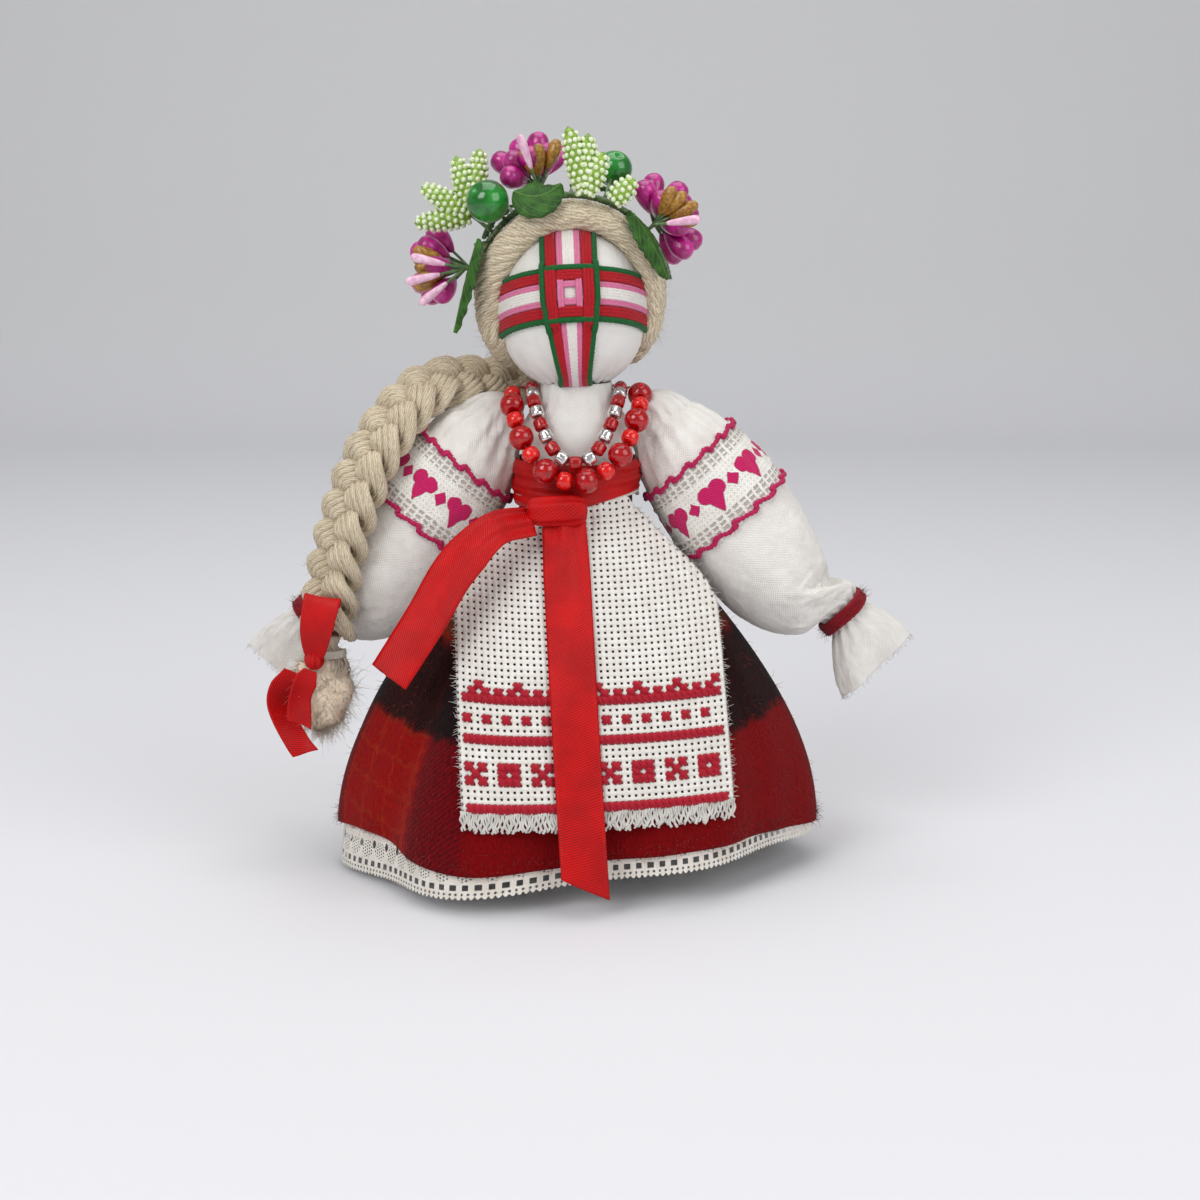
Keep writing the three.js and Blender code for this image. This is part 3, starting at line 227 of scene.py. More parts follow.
def material(name, constants):
    """A material with one Principled shader and constants on its inputs, and a Shade to build on."""
    made = bpy.data.materials.new(name)
    made.use_nodes = True
    for key, value in constants.items():
        made.node_tree.nodes["Principled BSDF"].inputs[key].default_value = value
    return made, Shade(made.node_tree)


def feed(made, inputs):
    """Links values to the Principled shader's inputs."""
    shader = made.node_tree.nodes["Principled BSDF"]
    for key, value in inputs.items():
        made.node_tree.links.new(value.socket, shader.inputs[key])
    return made


def cotton(name, light, dark, thread):
    """Plain weave: threads of the given width over and under, with a little unevenness in colour."""
    made, shade = material(name, {"Roughness": 0.92, "Sheen Weight": 0.2, "Specular IOR Level": 0.2})
    across, down = shade.uv()
    weave = across.wave(2 * thread) * down.wave(2 * thread)
    patch = shade.grain(5.0) * 0.7 + weave * 0.16 + 0.1
    colour = patch.rise(0.1, 0.8).mix(dark, light)
    height = weave * (0.16 * thread) + shade.grain(1.6) * 0.10
    return feed(made, {"Base Color": colour, "Normal": height.bump()})


ROLL_CLOTH = 1.2
ROLL_PITCH = 1.9
ROLL_EYE = 0.8
core_cotton = cotton("core_cotton", tint(236, 230, 218), tint(214, 206, 192), 0.5)
roll_low, roll_high = span("body_roll")
roll_radius = roll_high[0] - ROLL_CLOTH / 2
roll_angle = np.linspace(0, TURN * (roll_radius - ROLL_EYE) / ROLL_PITCH, 280)
roll_arm = ROLL_EYE + ROLL_PITCH * roll_angle / TURN
roll_height = np.linspace(roll_low[2], roll_high[2], 20)[:, None]
roll_plan = oval(roll_angle, roll_arm, roll_arm, 0)
roll_strip = along(roll_plan)
roll_points = roll_plan + roll_height[..., None] * np.array([0, 0, 1])
roll = surface("core_roll", roll_points, spread(roll_strip, roll_height))
thicken(roll, ROLL_CLOTH, 0)
place(roll, "torso", "core_cloth", core_cotton, "body_roll")


# Blouse.
# Fine white cotton drawn over the core's upper end and up round the bound neck, where it meets the head. It
# is tucked in under the skirt at the waist.


def smooth_path(knots, count):
    """A Catmull-Rom curve through the knots, resampled at equal steps of length."""
    knots = np.asarray(knots, float)
    ends = np.vstack([2 * knots[0] - knots[1], knots, 2 * knots[-1] - knots[-2]])
    place_along = np.linspace(0, len(knots) - 1, 40 * len(knots))
    first = np.minimum(place_along.astype(int), len(knots) - 2)
    share = (place_along - first)[:, None]
    a, b, c, d = (ends[first + step] for step in range(4))
    bend = (2 * a - 5 * b + 4 * c - d) * share**2 + (3 * b - a - 3 * c + d) * share**3
    fine = b + 0.5 * ((c - a) * share + bend)
    return resample(fine, np.linspace(0, 1, count))


def between(wanted, marks, rows):
    """Rows of a table read off between their marks, in straight steps."""
    return np.stack([np.interp(wanted, marks, column) for column in rows.T], axis=-1)


def resample(path, shares):
    """Points at the given shares of a path's length."""
    length = along(path)
    return between(shares * length[-1], length, path)


BLOUSE_LEVELS = [(88, 11.4, 11.4), (97, 11.4, 11.4), (108, 14.5, 12.6), (113, 12.8, 11.8),
                 (116.5, 10.3, 10.3), (119, 9.5, 9.5), (122.5, 8.8, 8.8)]
BLOUSE_CLOTH = 0.5
BLOUSE_RADIUS = 12.0
BLOUSE_GATHERS = 19
GATHER_LEVEL = 117.4
GATHER_REACH = 4.0
GATHER_DEPTH = 0.1
fine_cotton = cotton("fine_cotton", tint(240, 238, 234), tint(224, 220, 214), 0.32)
blouse_level, blouse_wide, blouse_deep = smooth_path(BLOUSE_LEVELS, 56).T[..., None]
blouse_angle = np.linspace(0, TURN, 121)
blouse_pull = np.exp(-(((blouse_level - GATHER_LEVEL) / GATHER_REACH) ** 2)) * GATHER_DEPTH
blouse_ripple = 1 + blouse_pull * np.cos(BLOUSE_GATHERS * blouse_angle) / blouse_wide
blouse_points = oval(blouse_angle, blouse_wide * blouse_ripple, blouse_deep * blouse_ripple, blouse_level)
blouse_uv = spread(blouse_angle * BLOUSE_RADIUS, blouse_level)
blouse = surface("blouse_cloth", blouse_points, blouse_uv)
thicken(blouse, BLOUSE_CLOTH)
place(blouse, "torso", "white_cotton", fine_cotton, "blouse")


# Bindings at the neck and the waist.
# Thread of two plies wound twice round the gathered cloth and pulled tight, one turn above the other.


def unit(vector):
    """The vectors drawn out or in to a length of one."""
    return vector / np.linalg.norm(vector, axis=-1, keepdims=True)


def wheel(turn, side, out):
    """Spokes turned from side towards out: cos(turn) x side + sin(turn) x out."""
    return np.cos(turn)[..., None] * side + np.sin(turn)[..., None] * out


def strand(path, radius, out, lay=7.0, plies=2, depth=0.16, sides=10, flat=1.0):
    """Twisted yarn: a section r (1 + depth cos(plies x angle)) carried along the path, turned once every lay
    and squeezed to flat along out. Both ends close to a point. Gives the grid and its surface coordinates."""
    path = np.asarray(path, float)
    forward = unit(np.gradient(path, axis=-2))
    side = unit(np.cross(forward, out))
    front = np.cross(side, forward) * flat
    length = along(path)[..., None]
    turn = np.linspace(0, TURN, sides + 1)
    reach = np.asarray(radius, float)[..., None] * (1 + depth * np.cos(plies * (turn - TURN * length / lay)))
    rings = path[..., None, :] + reach[..., None] * wheel(turn, side[..., None, :], front[..., None, :])
    caps = path[..., None, :] + 0 * rings
    grid = np.concatenate([caps[..., :1, :, :], rings, caps[..., -1:, :, :]], axis=-3)
    length = np.concatenate([length[..., :1, :], length, length[..., -1:, :]], axis=-2)
    return grid, spread(turn, length)


def thread(name, colour, shadow, lay=1.6, gloss=0.55):
    """Spun thread: fine fibres that run along it at a slant, with painted shade between the plies and random
    flecks.
    """
    made, shade = material(name, {"Roughness": gloss, "Sheen Weight": 0.1, "Specular IOR Level": 0.25})
    around, down = shade.uv()
    fibre = (around / TURN * lay + down).wave(lay * 0.25) * 0.5 + 0.5
    # Painted shade between the plies, mixed with random flecks, sets the thread's colour.
    fleck_and_ply_shade = fibre * 0.45 + shade.grain(0.8) * 0.55
    tone = fleck_and_ply_shade.rise(0.15, 0.8).mix(shadow, colour)
    return feed(made, {"Base Color": tone, "Normal": (fibre * 0.05).bump()})


TIE_THREAD = 0.48
TIE_ROOM = 0.5
TIE_TURNS = 2
binding_thread = thread("binding_thread", tint(232, 226, 214), tint(178, 168, 152))
for tie_name in ("neck_tie", "waist_tie"):
    tie_low, tie_high = span(tie_name)
    tie_turn = np.linspace(0, TIE_TURNS * TURN, 150)
    tie_ring = (tie_high - tie_low)[:2] / 2 - TIE_ROOM
    tie_rise = np.linspace(tie_low[2] + TIE_ROOM, tie_high[2] - TIE_ROOM, tie_turn.size)
    tie_path = oval(tie_turn, *tie_ring, tie_rise)
    tie = surface(tie_name + "_thread", *strand(tie_path, TIE_THREAD, (0, 0, 1), 2.4))
    place(tie, "torso", "binding_thread", binding_thread, tie_name)


# Petticoat.
# Plain cotton cut as a bell, gathered to the waist under the wool skirt. It carries the lace at its hem.

WAIST = 14.0
HEM_HALF_WIDTH = 61.0
HEM_HALF_DEPTH = 46.0
HEM_Z = 9.0
BELL_TOP = span("sash_band")[0][2] - 0.6
PETTICOAT_CLOTH = 0.4
PETTICOAT_INSET = 1.9
FOLD_HEIGHT = 1.8
FOLDS = 7
LOBE_HEIGHT = 7.0
LOBE_ANGLE = -2.05
LOBE_WIDTH = 0.34
HEM_LIFT = 5.0
LIFT_ANGLE = -0.9
LIFT_WIDTH = 0.8
SIDE_LIFT = 4.0
SIDE_LIFT_ANGLE = -2.62
SIDE_LIFT_WIDTH = 0.42


def rising(angle, centre, width):
    """A bell curve round the middle axis: 1 at the centre angle, falling off with the turn away from it."""
    turn_away = (angle - centre + np.pi) % TURN - np.pi
    return np.exp(-((turn_away / width) ** 2))


def hem_lift(angle):
    """How far the hem rises on the two sides where the skirt is hitched up."""
    front = HEM_LIFT * rising(angle, LIFT_ANGLE, LIFT_WIDTH)
    return front + SIDE_LIFT * rising(angle, SIDE_LIFT_ANGLE, SIDE_LIFT_WIDTH)


def bell(angle, drop, inset):
    """The skirt's outside: an ellipse that opens from waist to hem as a quarter sine wave, with folds that
    deepen downwards and one lobe pushed forwards. Inset moves it towards the middle."""
    swell = np.sin(TURN / 4 * drop)
    lobe = LOBE_HEIGHT * drop**2 * rising(angle, LOBE_ANGLE, LOBE_WIDTH)
    fold = FOLD_HEIGHT * drop * np.cos(FOLDS * angle + 1.1) + lobe - inset
    wide = WAIST + (HEM_HALF_WIDTH - WAIST) * swell + fold
    deep = WAIST + (HEM_HALF_DEPTH - WAIST) * swell + fold
    level = BELL_TOP + (HEM_Z + hem_lift(angle) * drop**2 - BELL_TOP) * drop
    return oval(angle, wide, deep, level)


around = np.linspace(-np.pi, np.pi, 241)
petticoat_drop = np.linspace(0, 1, 50)[:, None]
petticoat_points = bell(around, petticoat_drop, PETTICOAT_INSET + 0.3 * petticoat_drop)
petticoat_collar = bell(around, np.zeros((4, 1)), PETTICOAT_INSET)
petticoat_collar[..., 2] += np.linspace(3.6, 0.9, 4)[:, None]
petticoat_points = np.concatenate([petticoat_collar, petticoat_points])
petticoat_down = along(np.swapaxes(petticoat_points, 0, 1)).T
hem_length = along(petticoat_points[-1])[-1]
petticoat_uv = spread(around / TURN * hem_length, petticoat_down)
petticoat = surface("petticoat_cloth", petticoat_points, petticoat_uv)
thicken(petticoat, PETTICOAT_CLOTH)
place(petticoat, "torso", "white_cotton", fine_cotton, "petticoat")


# Lace hem.
# Cotton bobbin lace sewn to the petticoat's lower edge: a dense heading, arched windows filled with net, a
# row of square holes and a fine picot edge. Its holes are real.

LACE_STEP = 0.2
LACE_TALL = 13.0
LACE_LIFT = 9.0
LACE_LIFT_ANGLE = -0.7
LACE_LIFT_WIDTH = 1.4
LACE_GROUND = 1.25
LACE_GROUND_TO = 3.4
LACE_WINDOW = 5.0
LACE_WINDOW_LEVEL = 6.6
LACE_ARCH_LEVEL = 5.2
LACE_NET = 0.8
LACE_HOLE = 2.5
LACE_HOLE_LEVEL = 10.1
LACE_EYELET_LEVEL = 11.7
LACE_PICOT = 1.25
lace_made, lace_shade = material("lace_cotton", {"Roughness": 0.85, "Sheen Weight": 0.2})
lace_across, lace_down = lace_shade.uv()
lace_thread = lace_across.wave(0.45) * lace_down.wave(0.45)
lace_patch = (lace_shade.grain(3.0) + lace_thread * 0.15).rise(0.2, 0.8)
lace_made = feed(lace_made, {
    "Base Color": lace_patch.mix(tint(226, 218, 204), tint(244, 240, 232)),
    "Normal": (lace_thread * 0.05).bump()})
lace_columns = int(hem_length / LACE_STEP)
lace_around = np.linspace(-np.pi, np.pi, lace_columns + 1)
lace_share = np.linspace(0, 1, int(LACE_TALL / LACE_STEP) + 1)[:, None]
lace_foot = 0.2 + LACE_LIFT * rising(lace_around, LACE_LIFT_ANGLE, LACE_LIFT_WIDTH)
lace_level = lace_foot + LACE_TALL * (1 - lace_share)
lace_below = HEM_Z + hem_lift(lace_around) - lace_level
lace_drop = np.clip((BELL_TOP - lace_level) / (BELL_TOP - HEM_Z - hem_lift(lace_around)), 0, 1)
lace_points = bell(lace_around, lace_drop, PETTICOAT_INSET - 0.15 - 0.12 * np.clip(lace_below, 0, None))
lace_points[..., 2] = lace_level
lace_x = (lace_around[:-1] + lace_around[1:]) / 2 / TURN * hem_length
lace_y = (lace_share[:-1] + lace_share[1:]) / 2 * LACE_TALL


def near(value, pitch):
    """Distance from the nearest multiple of the pitch, with its sign."""
    return (value / pitch + 0.5) % 1 * pitch - pitch / 2


window = (near(lace_x, LACE_WINDOW) / 1.95) ** 2 + ((lace_y - LACE_WINDOW_LEVEL) / 2.3) ** 2 < 1
net_shift = LACE_NET / 2 * (np.floor(lace_x / LACE_NET + 0.5) % 2)
net = np.hypot(near(lace_x, LACE_NET), near(lace_y + net_shift, LACE_NET)) < 0.3
arch = (near(lace_x + LACE_WINDOW / 2, LACE_WINDOW) / 0.62) ** 2 + (lace_y - LACE_ARCH_LEVEL) ** 2 < 1
square = (abs(near(lace_x, LACE_HOLE)) < 0.62) & (abs(lace_y - LACE_HOLE_LEVEL) < 0.6)
ground = np.hypot(near(lace_x, LACE_GROUND), near(lace_y, LACE_GROUND)) < 0.26
ground &= lace_y < LACE_GROUND_TO
eyelet = np.hypot(near(lace_x + 0.6, LACE_GROUND), lace_y - LACE_EYELET_LEVEL) < 0.28
picot = lace_y > LACE_TALL - 0.75 + 0.72 * np.abs(np.cos(np.pi * lace_x / LACE_PICOT))
lace_keep = ~((window & net) | arch | square | ground | eyelet | picot)
lace_uv = spread(lace_around / TURN * hem_length, lace_share * LACE_TALL)
lace = surface("lace_edging", lace_points, lace_uv, lace_keep)
place(lace, "torso", "lace", lace_made, "lace_hem")


# Skirt.
# Brushed checked wool, a single width gathered to the waist over the petticoat and bound there. Its raised
# nap blurs the checks and stands off the folds.

SKIRT_CLOTH = 1.3
SKIRT_INSET = 0.35
wool_made, wool_shade = material("plaid_wool", {
    "Roughness": 1.0, "Sheen Weight": 0.05, "Specular IOR Level": 0.08})
BLACK = tint(20, 17, 17)
MAROON = tint(92, 8, 22)
RED = tint(166, 15, 11)
DEEP_RED = tint(140, 8, 14)
OLIVE = tint(84, 66, 36)
ORANGE = tint(198, 84, 30)
wool_blur = (wool_shade.grain(2.2) - 0.5) * 5.0
wool_fleck = wool_shade.grain(0.9)
wool_across, wool_down = wool_shade.uv()
check_across = wool_across + wool_blur
check_down = wool_down + wool_blur
WOOL_REPEAT = hem_length / 2
stripe = check_across.saw(WOOL_REPEAT)
bright_warp = (stripe + 58).size().rise(18.0, 14.0)
maroon_warp = (stripe + 34).size().rise(10.0, 6.0)
edge_warp = stripe.size().rise(70.0, 75.0)
orange_warp = (stripe + 58).saw(9.0).size().rise(0.9, 0.3) * bright_warp
warp = (maroon_warp + edge_warp).mix(bright_warp.mix(DEEP_RED, RED), MAROON)
olive_weft = check_down.rise(46.0, 39.0)
black_weft = (check_down - 56).size().rise(13.0, 9.5)
orange_weft = check_down.saw(8.0).size().rise(0.8, 0.3) * bright_warp
weft = black_weft.mix(olive_weft.mix(bright_warp.mix(DEEP_RED, RED), OLIVE), BLACK)
twill = (wool_across + wool_down).wave(1.5) * 0.16 + wool_fleck * 0.9 + 0.05
cloth_colour = twill.rise(0.2, 0.8).mix(warp, weft)
fine_lines = (orange_warp + orange_weft) * (wool_fleck * 0.26)
cloth_colour = fine_lines.mix(cloth_colour, ORANGE)
dark_share = black_weft * 0.86
cloth_colour = dark_share.mix((olive_weft * 0.6).mix(cloth_colour, OLIVE), BLACK)
# Painted shade: the cloth colour is darkened to half where the nap's noise is low, for shade in the hollows
# between the raised fibres.
nap_shade_colour = cloth_colour.node("Mix", {"data_type": "RGBA", "blend_type": "MULTIPLY"},
                                  {0: 1.0, 6: cloth_colour, 7: (0.5, 0.46, 0.46, 1)}, 2)
nap = wool_shade.grain(0.35, (1, 1, 3.5))
wool_made = feed(wool_made, {
    "Base Color": (nap * 0.55).rise(0.1, 0.55).mix(nap_shade_colour, cloth_colour),
    "Normal": (nap * 0.32 + wool_shade.grain(1.8) * 0.3).bump()})
skirt_drop = np.linspace(0, 1, 90)[:, None]
skirt_around = np.linspace(-np.pi, np.pi, 361)
skirt_ripple = 0.35 * skirt_drop * np.cos(19 * skirt_around + 5 * skirt_drop)
skirt_ripple = skirt_ripple + 0.4 * (1 - skirt_drop) ** 3 * np.cos(26 * skirt_around)
skirt_points = bell(skirt_around, skirt_drop, SKIRT_INSET - skirt_ripple)
skirt_collar = bell(skirt_around, np.zeros((5, 1)), SKIRT_INSET - skirt_ripple[:1])
skirt_collar[..., 2] += np.linspace(5.4, 1.0, 5)[:, None]
skirt_points = np.concatenate([skirt_collar, skirt_points])
skirt_down = along(np.swapaxes(skirt_points, 0, 1)).T
skirt_hem = along(skirt_points[-1])[-1]
skirt_uv = spread(skirt_around / TURN * skirt_hem, skirt_down)
skirt = surface("skirt_cloth", skirt_points, skirt_uv)
thicken(skirt, SKIRT_CLOTH)
place(skirt, "torso", "plaid_wool", wool_made, "skirt")


def fibres(name, roots, directions, lengths, radius, seed):
    """Loose fibres: each leaves its root along its direction, curls to one side and tapers to a point."""
    luck = np.random.default_rng(seed)
    share = np.linspace(0, 1, 5)[:, None]
    curl = luck.normal(0, 0.35, (len(roots), 1, 3)) * share**2
    paths = roots[:, None] + lengths[:, None, None] * (unit(directions)[:, None] * share + curl)
    taper = radius * (1 - 0.7 * share[:, 0]) * np.ones((len(roots), 1))
    return surface(name, *strand(paths, taper, unit(luck.normal(0, 1, (len(roots), 1, 3))), 9.0, 2, 0.0, 3))


NAP_FIBRES = 2200
HEM_FIBRES = 900
luck = np.random.default_rng(4)
nap_row = luck.integers(20, 95, NAP_FIBRES)
nap_row[:HEM_FIBRES] = luck.integers(90, 95, HEM_FIBRES)
nap_column = luck.integers(0, 360, NAP_FIBRES)
nap_roots = skirt_points[nap_row, nap_column]
nap_away = nap_roots * np.array([1, 1.6, 0]) / 60 + luck.normal(0, 0.55, (NAP_FIBRES, 3))
nap_out = nap_away + np.array([0, 0, -0.45])
skirt_nap = fibres("skirt_nap", nap_roots, nap_out, luck.uniform(0.7, 2.0, NAP_FIBRES), 0.06, 5)
nap_made, nap_shade = material("wool_nap", {"Roughness": 1.0, "Sheen Weight": 0.1})
nap_colour = nap_shade.grain(9.0).rise(0.4, 0.6).mix(tint(60, 20, 22), tint(150, 28, 26))
place(skirt_nap, "torso", "plaid_wool", feed(nap_made, {"Base Color": nap_colour}))


# Apron.
# Even-weave embroidery cotton of sixteen squares to the inch, cut on the thread and held under the sash. Its
# side edges fray, crossed red stitches fill a border, and the drawn lower threads hang as a fringe.

SQUARE = 25.4 / 16
APRON_TOP = 91.7
APRON_TUCK = 3.6
APRON_BOTTOM = 21.0
FRINGE = 5.0
APRON_CLOTH = 0.5
APRON_COLUMNS = 41
APRON_LIE = 0.5
FLOSS = 0.62
FRINGE_THREAD = 0.3
BORDER_UP = 0.2
APRON_OUT = unit(np.array([0, -0.88, 0.47]))
APRON_BEND = ("torso", (0, -16, 95), (0, -22, 83))


def drape(x, z):
    """How far in front of the middle the apron's back lies: over the skirt's flattened front and its lobe."""
    drop = np.clip((BELL_TOP - z) / (BELL_TOP - HEM_Z), 0, 1)
    swell = np.sin(TURN / 4 * drop)
    wide = WAIST + (HEM_HALF_WIDTH - WAIST) * swell + FOLD_HEIGHT * drop
    deep = WAIST + (HEM_HALF_DEPTH - WAIST) * swell + FOLD_HEIGHT * drop
    share = x / wide
    lobe = np.exp(-(((share - np.cos(LOBE_ANGLE)) / (1.1 * LOBE_WIDTH)) ** 2))
    return deep * (1 - share**2 / 2) + 1.2 * LOBE_HEIGHT * drop**2 * lobe + 0.3


def apron_at(across, up, lift):
    """A point of the apron, across from its middle thread, up along it from its lower edge, and lifted."""
    level = np.interp(up, apron_up, apron_level)
    down = (APRON_TOP - level) / (APRON_TOP - APRON_BOTTOM)
    x = 1 + 5 * down + across
    flat = spread(x, -drape(x, level) - APRON_LIE, level)
    return flat + np.asarray(lift)[..., None] * APRON_OUT


def apron_half(up):
    """Half the apron's width: its upper corners are folded away under the sash."""
    down = (APRON_TOP - np.interp(up, apron_up, apron_level)) / (APRON_TOP - APRON_BOTTOM)
    share = np.clip((down + 0.12) / 0.46, 0, 1)
    return 10.5 + 22 * share**2 * (3 - 2 * share)


apron_level = np.linspace(APRON_BOTTOM + FRINGE - 0.6, APRON_TOP + APRON_TUCK, 300)
apron_side = spread(0 * apron_level, -drape(3.5, apron_level), apron_level)
apron_up = along(apron_side)
apron_rows = int(apron_up[-1] / SQUARE)
cell = np.array([0, 0.36, 0.573, 0.787])
ridge = np.array([0, 0, 1.0, 1.0])
cut_across = (np.arange(APRON_COLUMNS + 1)[:, None] + cell).ravel()[:-3] * SQUARE - APRON_COLUMNS * SQUARE / 2
cut_up = (np.arange(apron_rows + 1)[:, None] + cell).ravel()[:-3, None] * SQUARE
relief = np.tile(ridge, APRON_COLUMNS + 1)[:-3] + np.tile(ridge, apron_rows + 1)[:-3, None]
apron_pull = 0.5 * np.cos(TURN * cut_across / 5.5) * np.exp((cut_up - apron_up[-1]) / 7)
cut_half = apron_half(cut_up)
apron_points = apron_at(np.clip(cut_across, -cut_half, cut_half), cut_up, 0.15 * relief + apron_pull)
mid_across = (cut_across[:-1] + cut_across[1:]) / 2
mid_up = (cut_up[:-1] + cut_up[1:]) / 2
holes = (np.arange(mid_across.size) % 4 == 0) & (np.arange(mid_up.size)[:, None] % 4 == 0)
apron_keep = ~holes & (np.abs(mid_across) < apron_half(mid_up))
aida_made, aida_shade = material("aida_cotton", {
    "Roughness": 0.88, "Sheen Weight": 0.15, "Specular IOR Level": 0.2})
aida_across, aida_up = aida_shade.uv()
aida_fine = aida_across.wave(SQUARE / 4) * 0.5 + aida_up.wave(SQUARE / 4) * 0.5
aida_patch = (aida_shade.grain(4.0) * 0.8 + aida_fine * 0.2).rise(0.1, 0.8)
aida_made = feed(aida_made, {
    "Base Color": aida_patch.mix(tint(222, 217, 208), tint(244, 242, 237)),
    "Normal": (aida_fine * 0.04 + aida_shade.grain(0.6) * 0.06).bump()})
apron_uv = spread(cut_across, cut_up)
apron = surface("apron_cloth", apron_points, apron_uv, apron_keep)
thicken(apron, APRON_CLOTH)
place(apron, "apron", "aida_cloth", aida_made, "apron", bend=APRON_BEND)

stitch_row, stitch_column = np.mgrid[0:19, 0:APRON_COLUMNS]
flower = (stitch_column - 3) % 6
motif_x = (stitch_column - 1) % 5 - 1
motif_y = stitch_row - 5
motif = (np.abs(motif_y) <= 1) & (motif_x <= 1)
odd_motif = (stitch_column - 1) // 5 % 2 == 1
crossed = np.abs(motif_x) == np.abs(motif_y)
lines = np.isin(stitch_row, (0, 10, 16))
single = (stitch_row == 13) & (stitch_column % 3 == 1)
petals = (stitch_row == 17) & np.isin(flower, (1, 3, 5)) | (stitch_row == 18) & (flower == 0)
stitched = lines | single | petals | motif & np.where(odd_motif, ~((motif_x == 0) & (motif_y == 0)), crossed)
floss_row, floss_column = np.nonzero(stitched & (stitch_column > 0) & (stitch_column < APRON_COLUMNS - 1))
floss_share = np.linspace(-1, 1, 7)
floss_slant = np.array([1, -1])[:, None, None]
floss_across = (floss_column[:, None] + 0.5 + 0.5 * floss_share) * SQUARE - APRON_COLUMNS * SQUARE / 2
floss_up = (floss_row[:, None] + BORDER_UP + 0.5 + 0.5 * floss_slant * floss_share) * SQUARE
floss_lift = 0.1 + 0.5 * (1 - floss_share**2) + np.array([0.0, 0.3])[:, None, None] * (1 - floss_share**2)
floss_paths = apron_at(*np.broadcast_arrays(floss_across, floss_up), floss_lift)
cross_stitch = surface("apron_cross_stitch", *strand(floss_paths, FLOSS, APRON_OUT, 3.0, 6, 0.08, 8, 0.6))
raspberry = thread("raspberry_floss", tint(190, 10, 42), tint(140, 4, 28), 1.2, 0.6)
place(cross_stitch, "apron", "aida_cloth", raspberry)

luck = np.random.default_rng(11)
fringe_across = np.linspace(-APRON_COLUMNS * SQUARE / 2, APRON_COLUMNS * SQUARE / 2, 124)[:, None]
fringe_share = np.linspace(0, 1, 9)
fringe_sway = 0.5 * np.sin(TURN * fringe_share * 1.4 + luck.uniform(0, TURN, fringe_across.shape))
fringe_long = FRINGE * luck.uniform(0.8, 1.05, fringe_across.shape)
fringe_paths = apron_at(fringe_across + fringe_sway * fringe_share, 0.4, 0.15)
fringe_paths[..., 2] -= fringe_long * fringe_share
fringe_paths[..., 1] -= 0.12 * fringe_long * fringe_share + 0.3 * np.cos(TURN * fringe_share + fringe_across)
fringe = surface("apron_fringe", *strand(fringe_paths, FRINGE_THREAD, APRON_OUT, 1.6, 2, 0.2, 6))
place(fringe, "apron", "aida_cloth", aida_made)

fray_up = np.repeat(np.arange(2, 4 * apron_rows - 8) * SQUARE / 4, 2)
fray_sign = np.tile([-1.0, 1.0], fray_up.size // 2)
fray_root = apron_at(fray_sign * (apron_half(fray_up) - 0.3), fray_up, 0.1 + 0 * fray_up)
fray_way = spread(fray_sign, luck.normal(-0.1, 0.3, fray_up.size), luck.normal(0, 0.35, fray_up.size))
fray = fibres("apron_frayed_edge", fray_root, fray_way, luck.uniform(0.5, 1.5, fray_up.size), 0.11, 12)
place(fray, "apron", "aida_cloth", aida_made, bend=APRON_BEND)


# Sash.
# One length of red satin ribbon wound round the waist over the blouse, the skirt and the apron's upper edge,
# and tied in front. The knot is pleated by the pull, and two tails hang from it.

RIBBON = 0.3
RIBBON_WIDTH = 11.5


def satin(name, colour, shadow):
    """Satin ribbon: close slanting ribs with a painted highlight along each, and broad patches of painted
    sheen and shade.
    """
    made, shade = material(name, {"Roughness": 0.4, "Specular IOR Level": 0.24})
    across, down = shade.uv()
    rib = (across * 0.7 + down).wave(0.62)
    # Painted highlight on the ribs, and painted sheen and shade from the broad grain, set the ribbon's
    # colour.
    tone = rib * 0.2 + shade.grain(8.0) * 0.7 + 0.12
    height = rib * 0.035 + shade.grain(7.0) * 0.16
    return feed(made, {"Base Color": tone.rise(0.15, 0.85).mix(shadow, colour), "Normal": height.bump()})


red_satin = satin("red_satin", tint(214, 4, 6), tint(152, 0, 3))
band_low, band_high = span("sash_band")
band_radius = (band_high[0] - band_low[0]) / 2 - 0.1
band_rise = np.linspace(0, 1, 44)[:, None]
band_angle = np.linspace(0, TURN, 181)
band_crease = 0.5 * np.cos(TURN * (2.6 * band_rise + 0.35 * np.sin(band_angle)))
band_fold = band_crease - 0.3 * np.cos(TURN * 5.3 * band_rise + 2 * np.cos(band_angle))
band_roll = 0.9 * (2 * band_rise - 1) ** 6
band_arm = band_radius - 0.25 + 0.45 * band_fold - band_roll
band_hitch = 4.0 * (1 - band_rise) * np.clip(np.cos(band_angle), 0, 1) ** 0.8
band_level = band_low[2] + (band_high[2] - band_low[2]) * band_rise + band_hitch
band_points = oval(band_angle, band_arm, band_arm, band_level)
band_uv = spread(band_rise * RIBBON_WIDTH, band_angle * band_radius)
sash_band = surface("sash_ribbon", band_points, band_uv)
thicken(sash_band, RIBBON)
place(sash_band, "torso", "satin_ribbon", red_satin, "sash_band")
TURN * band_radius * MM

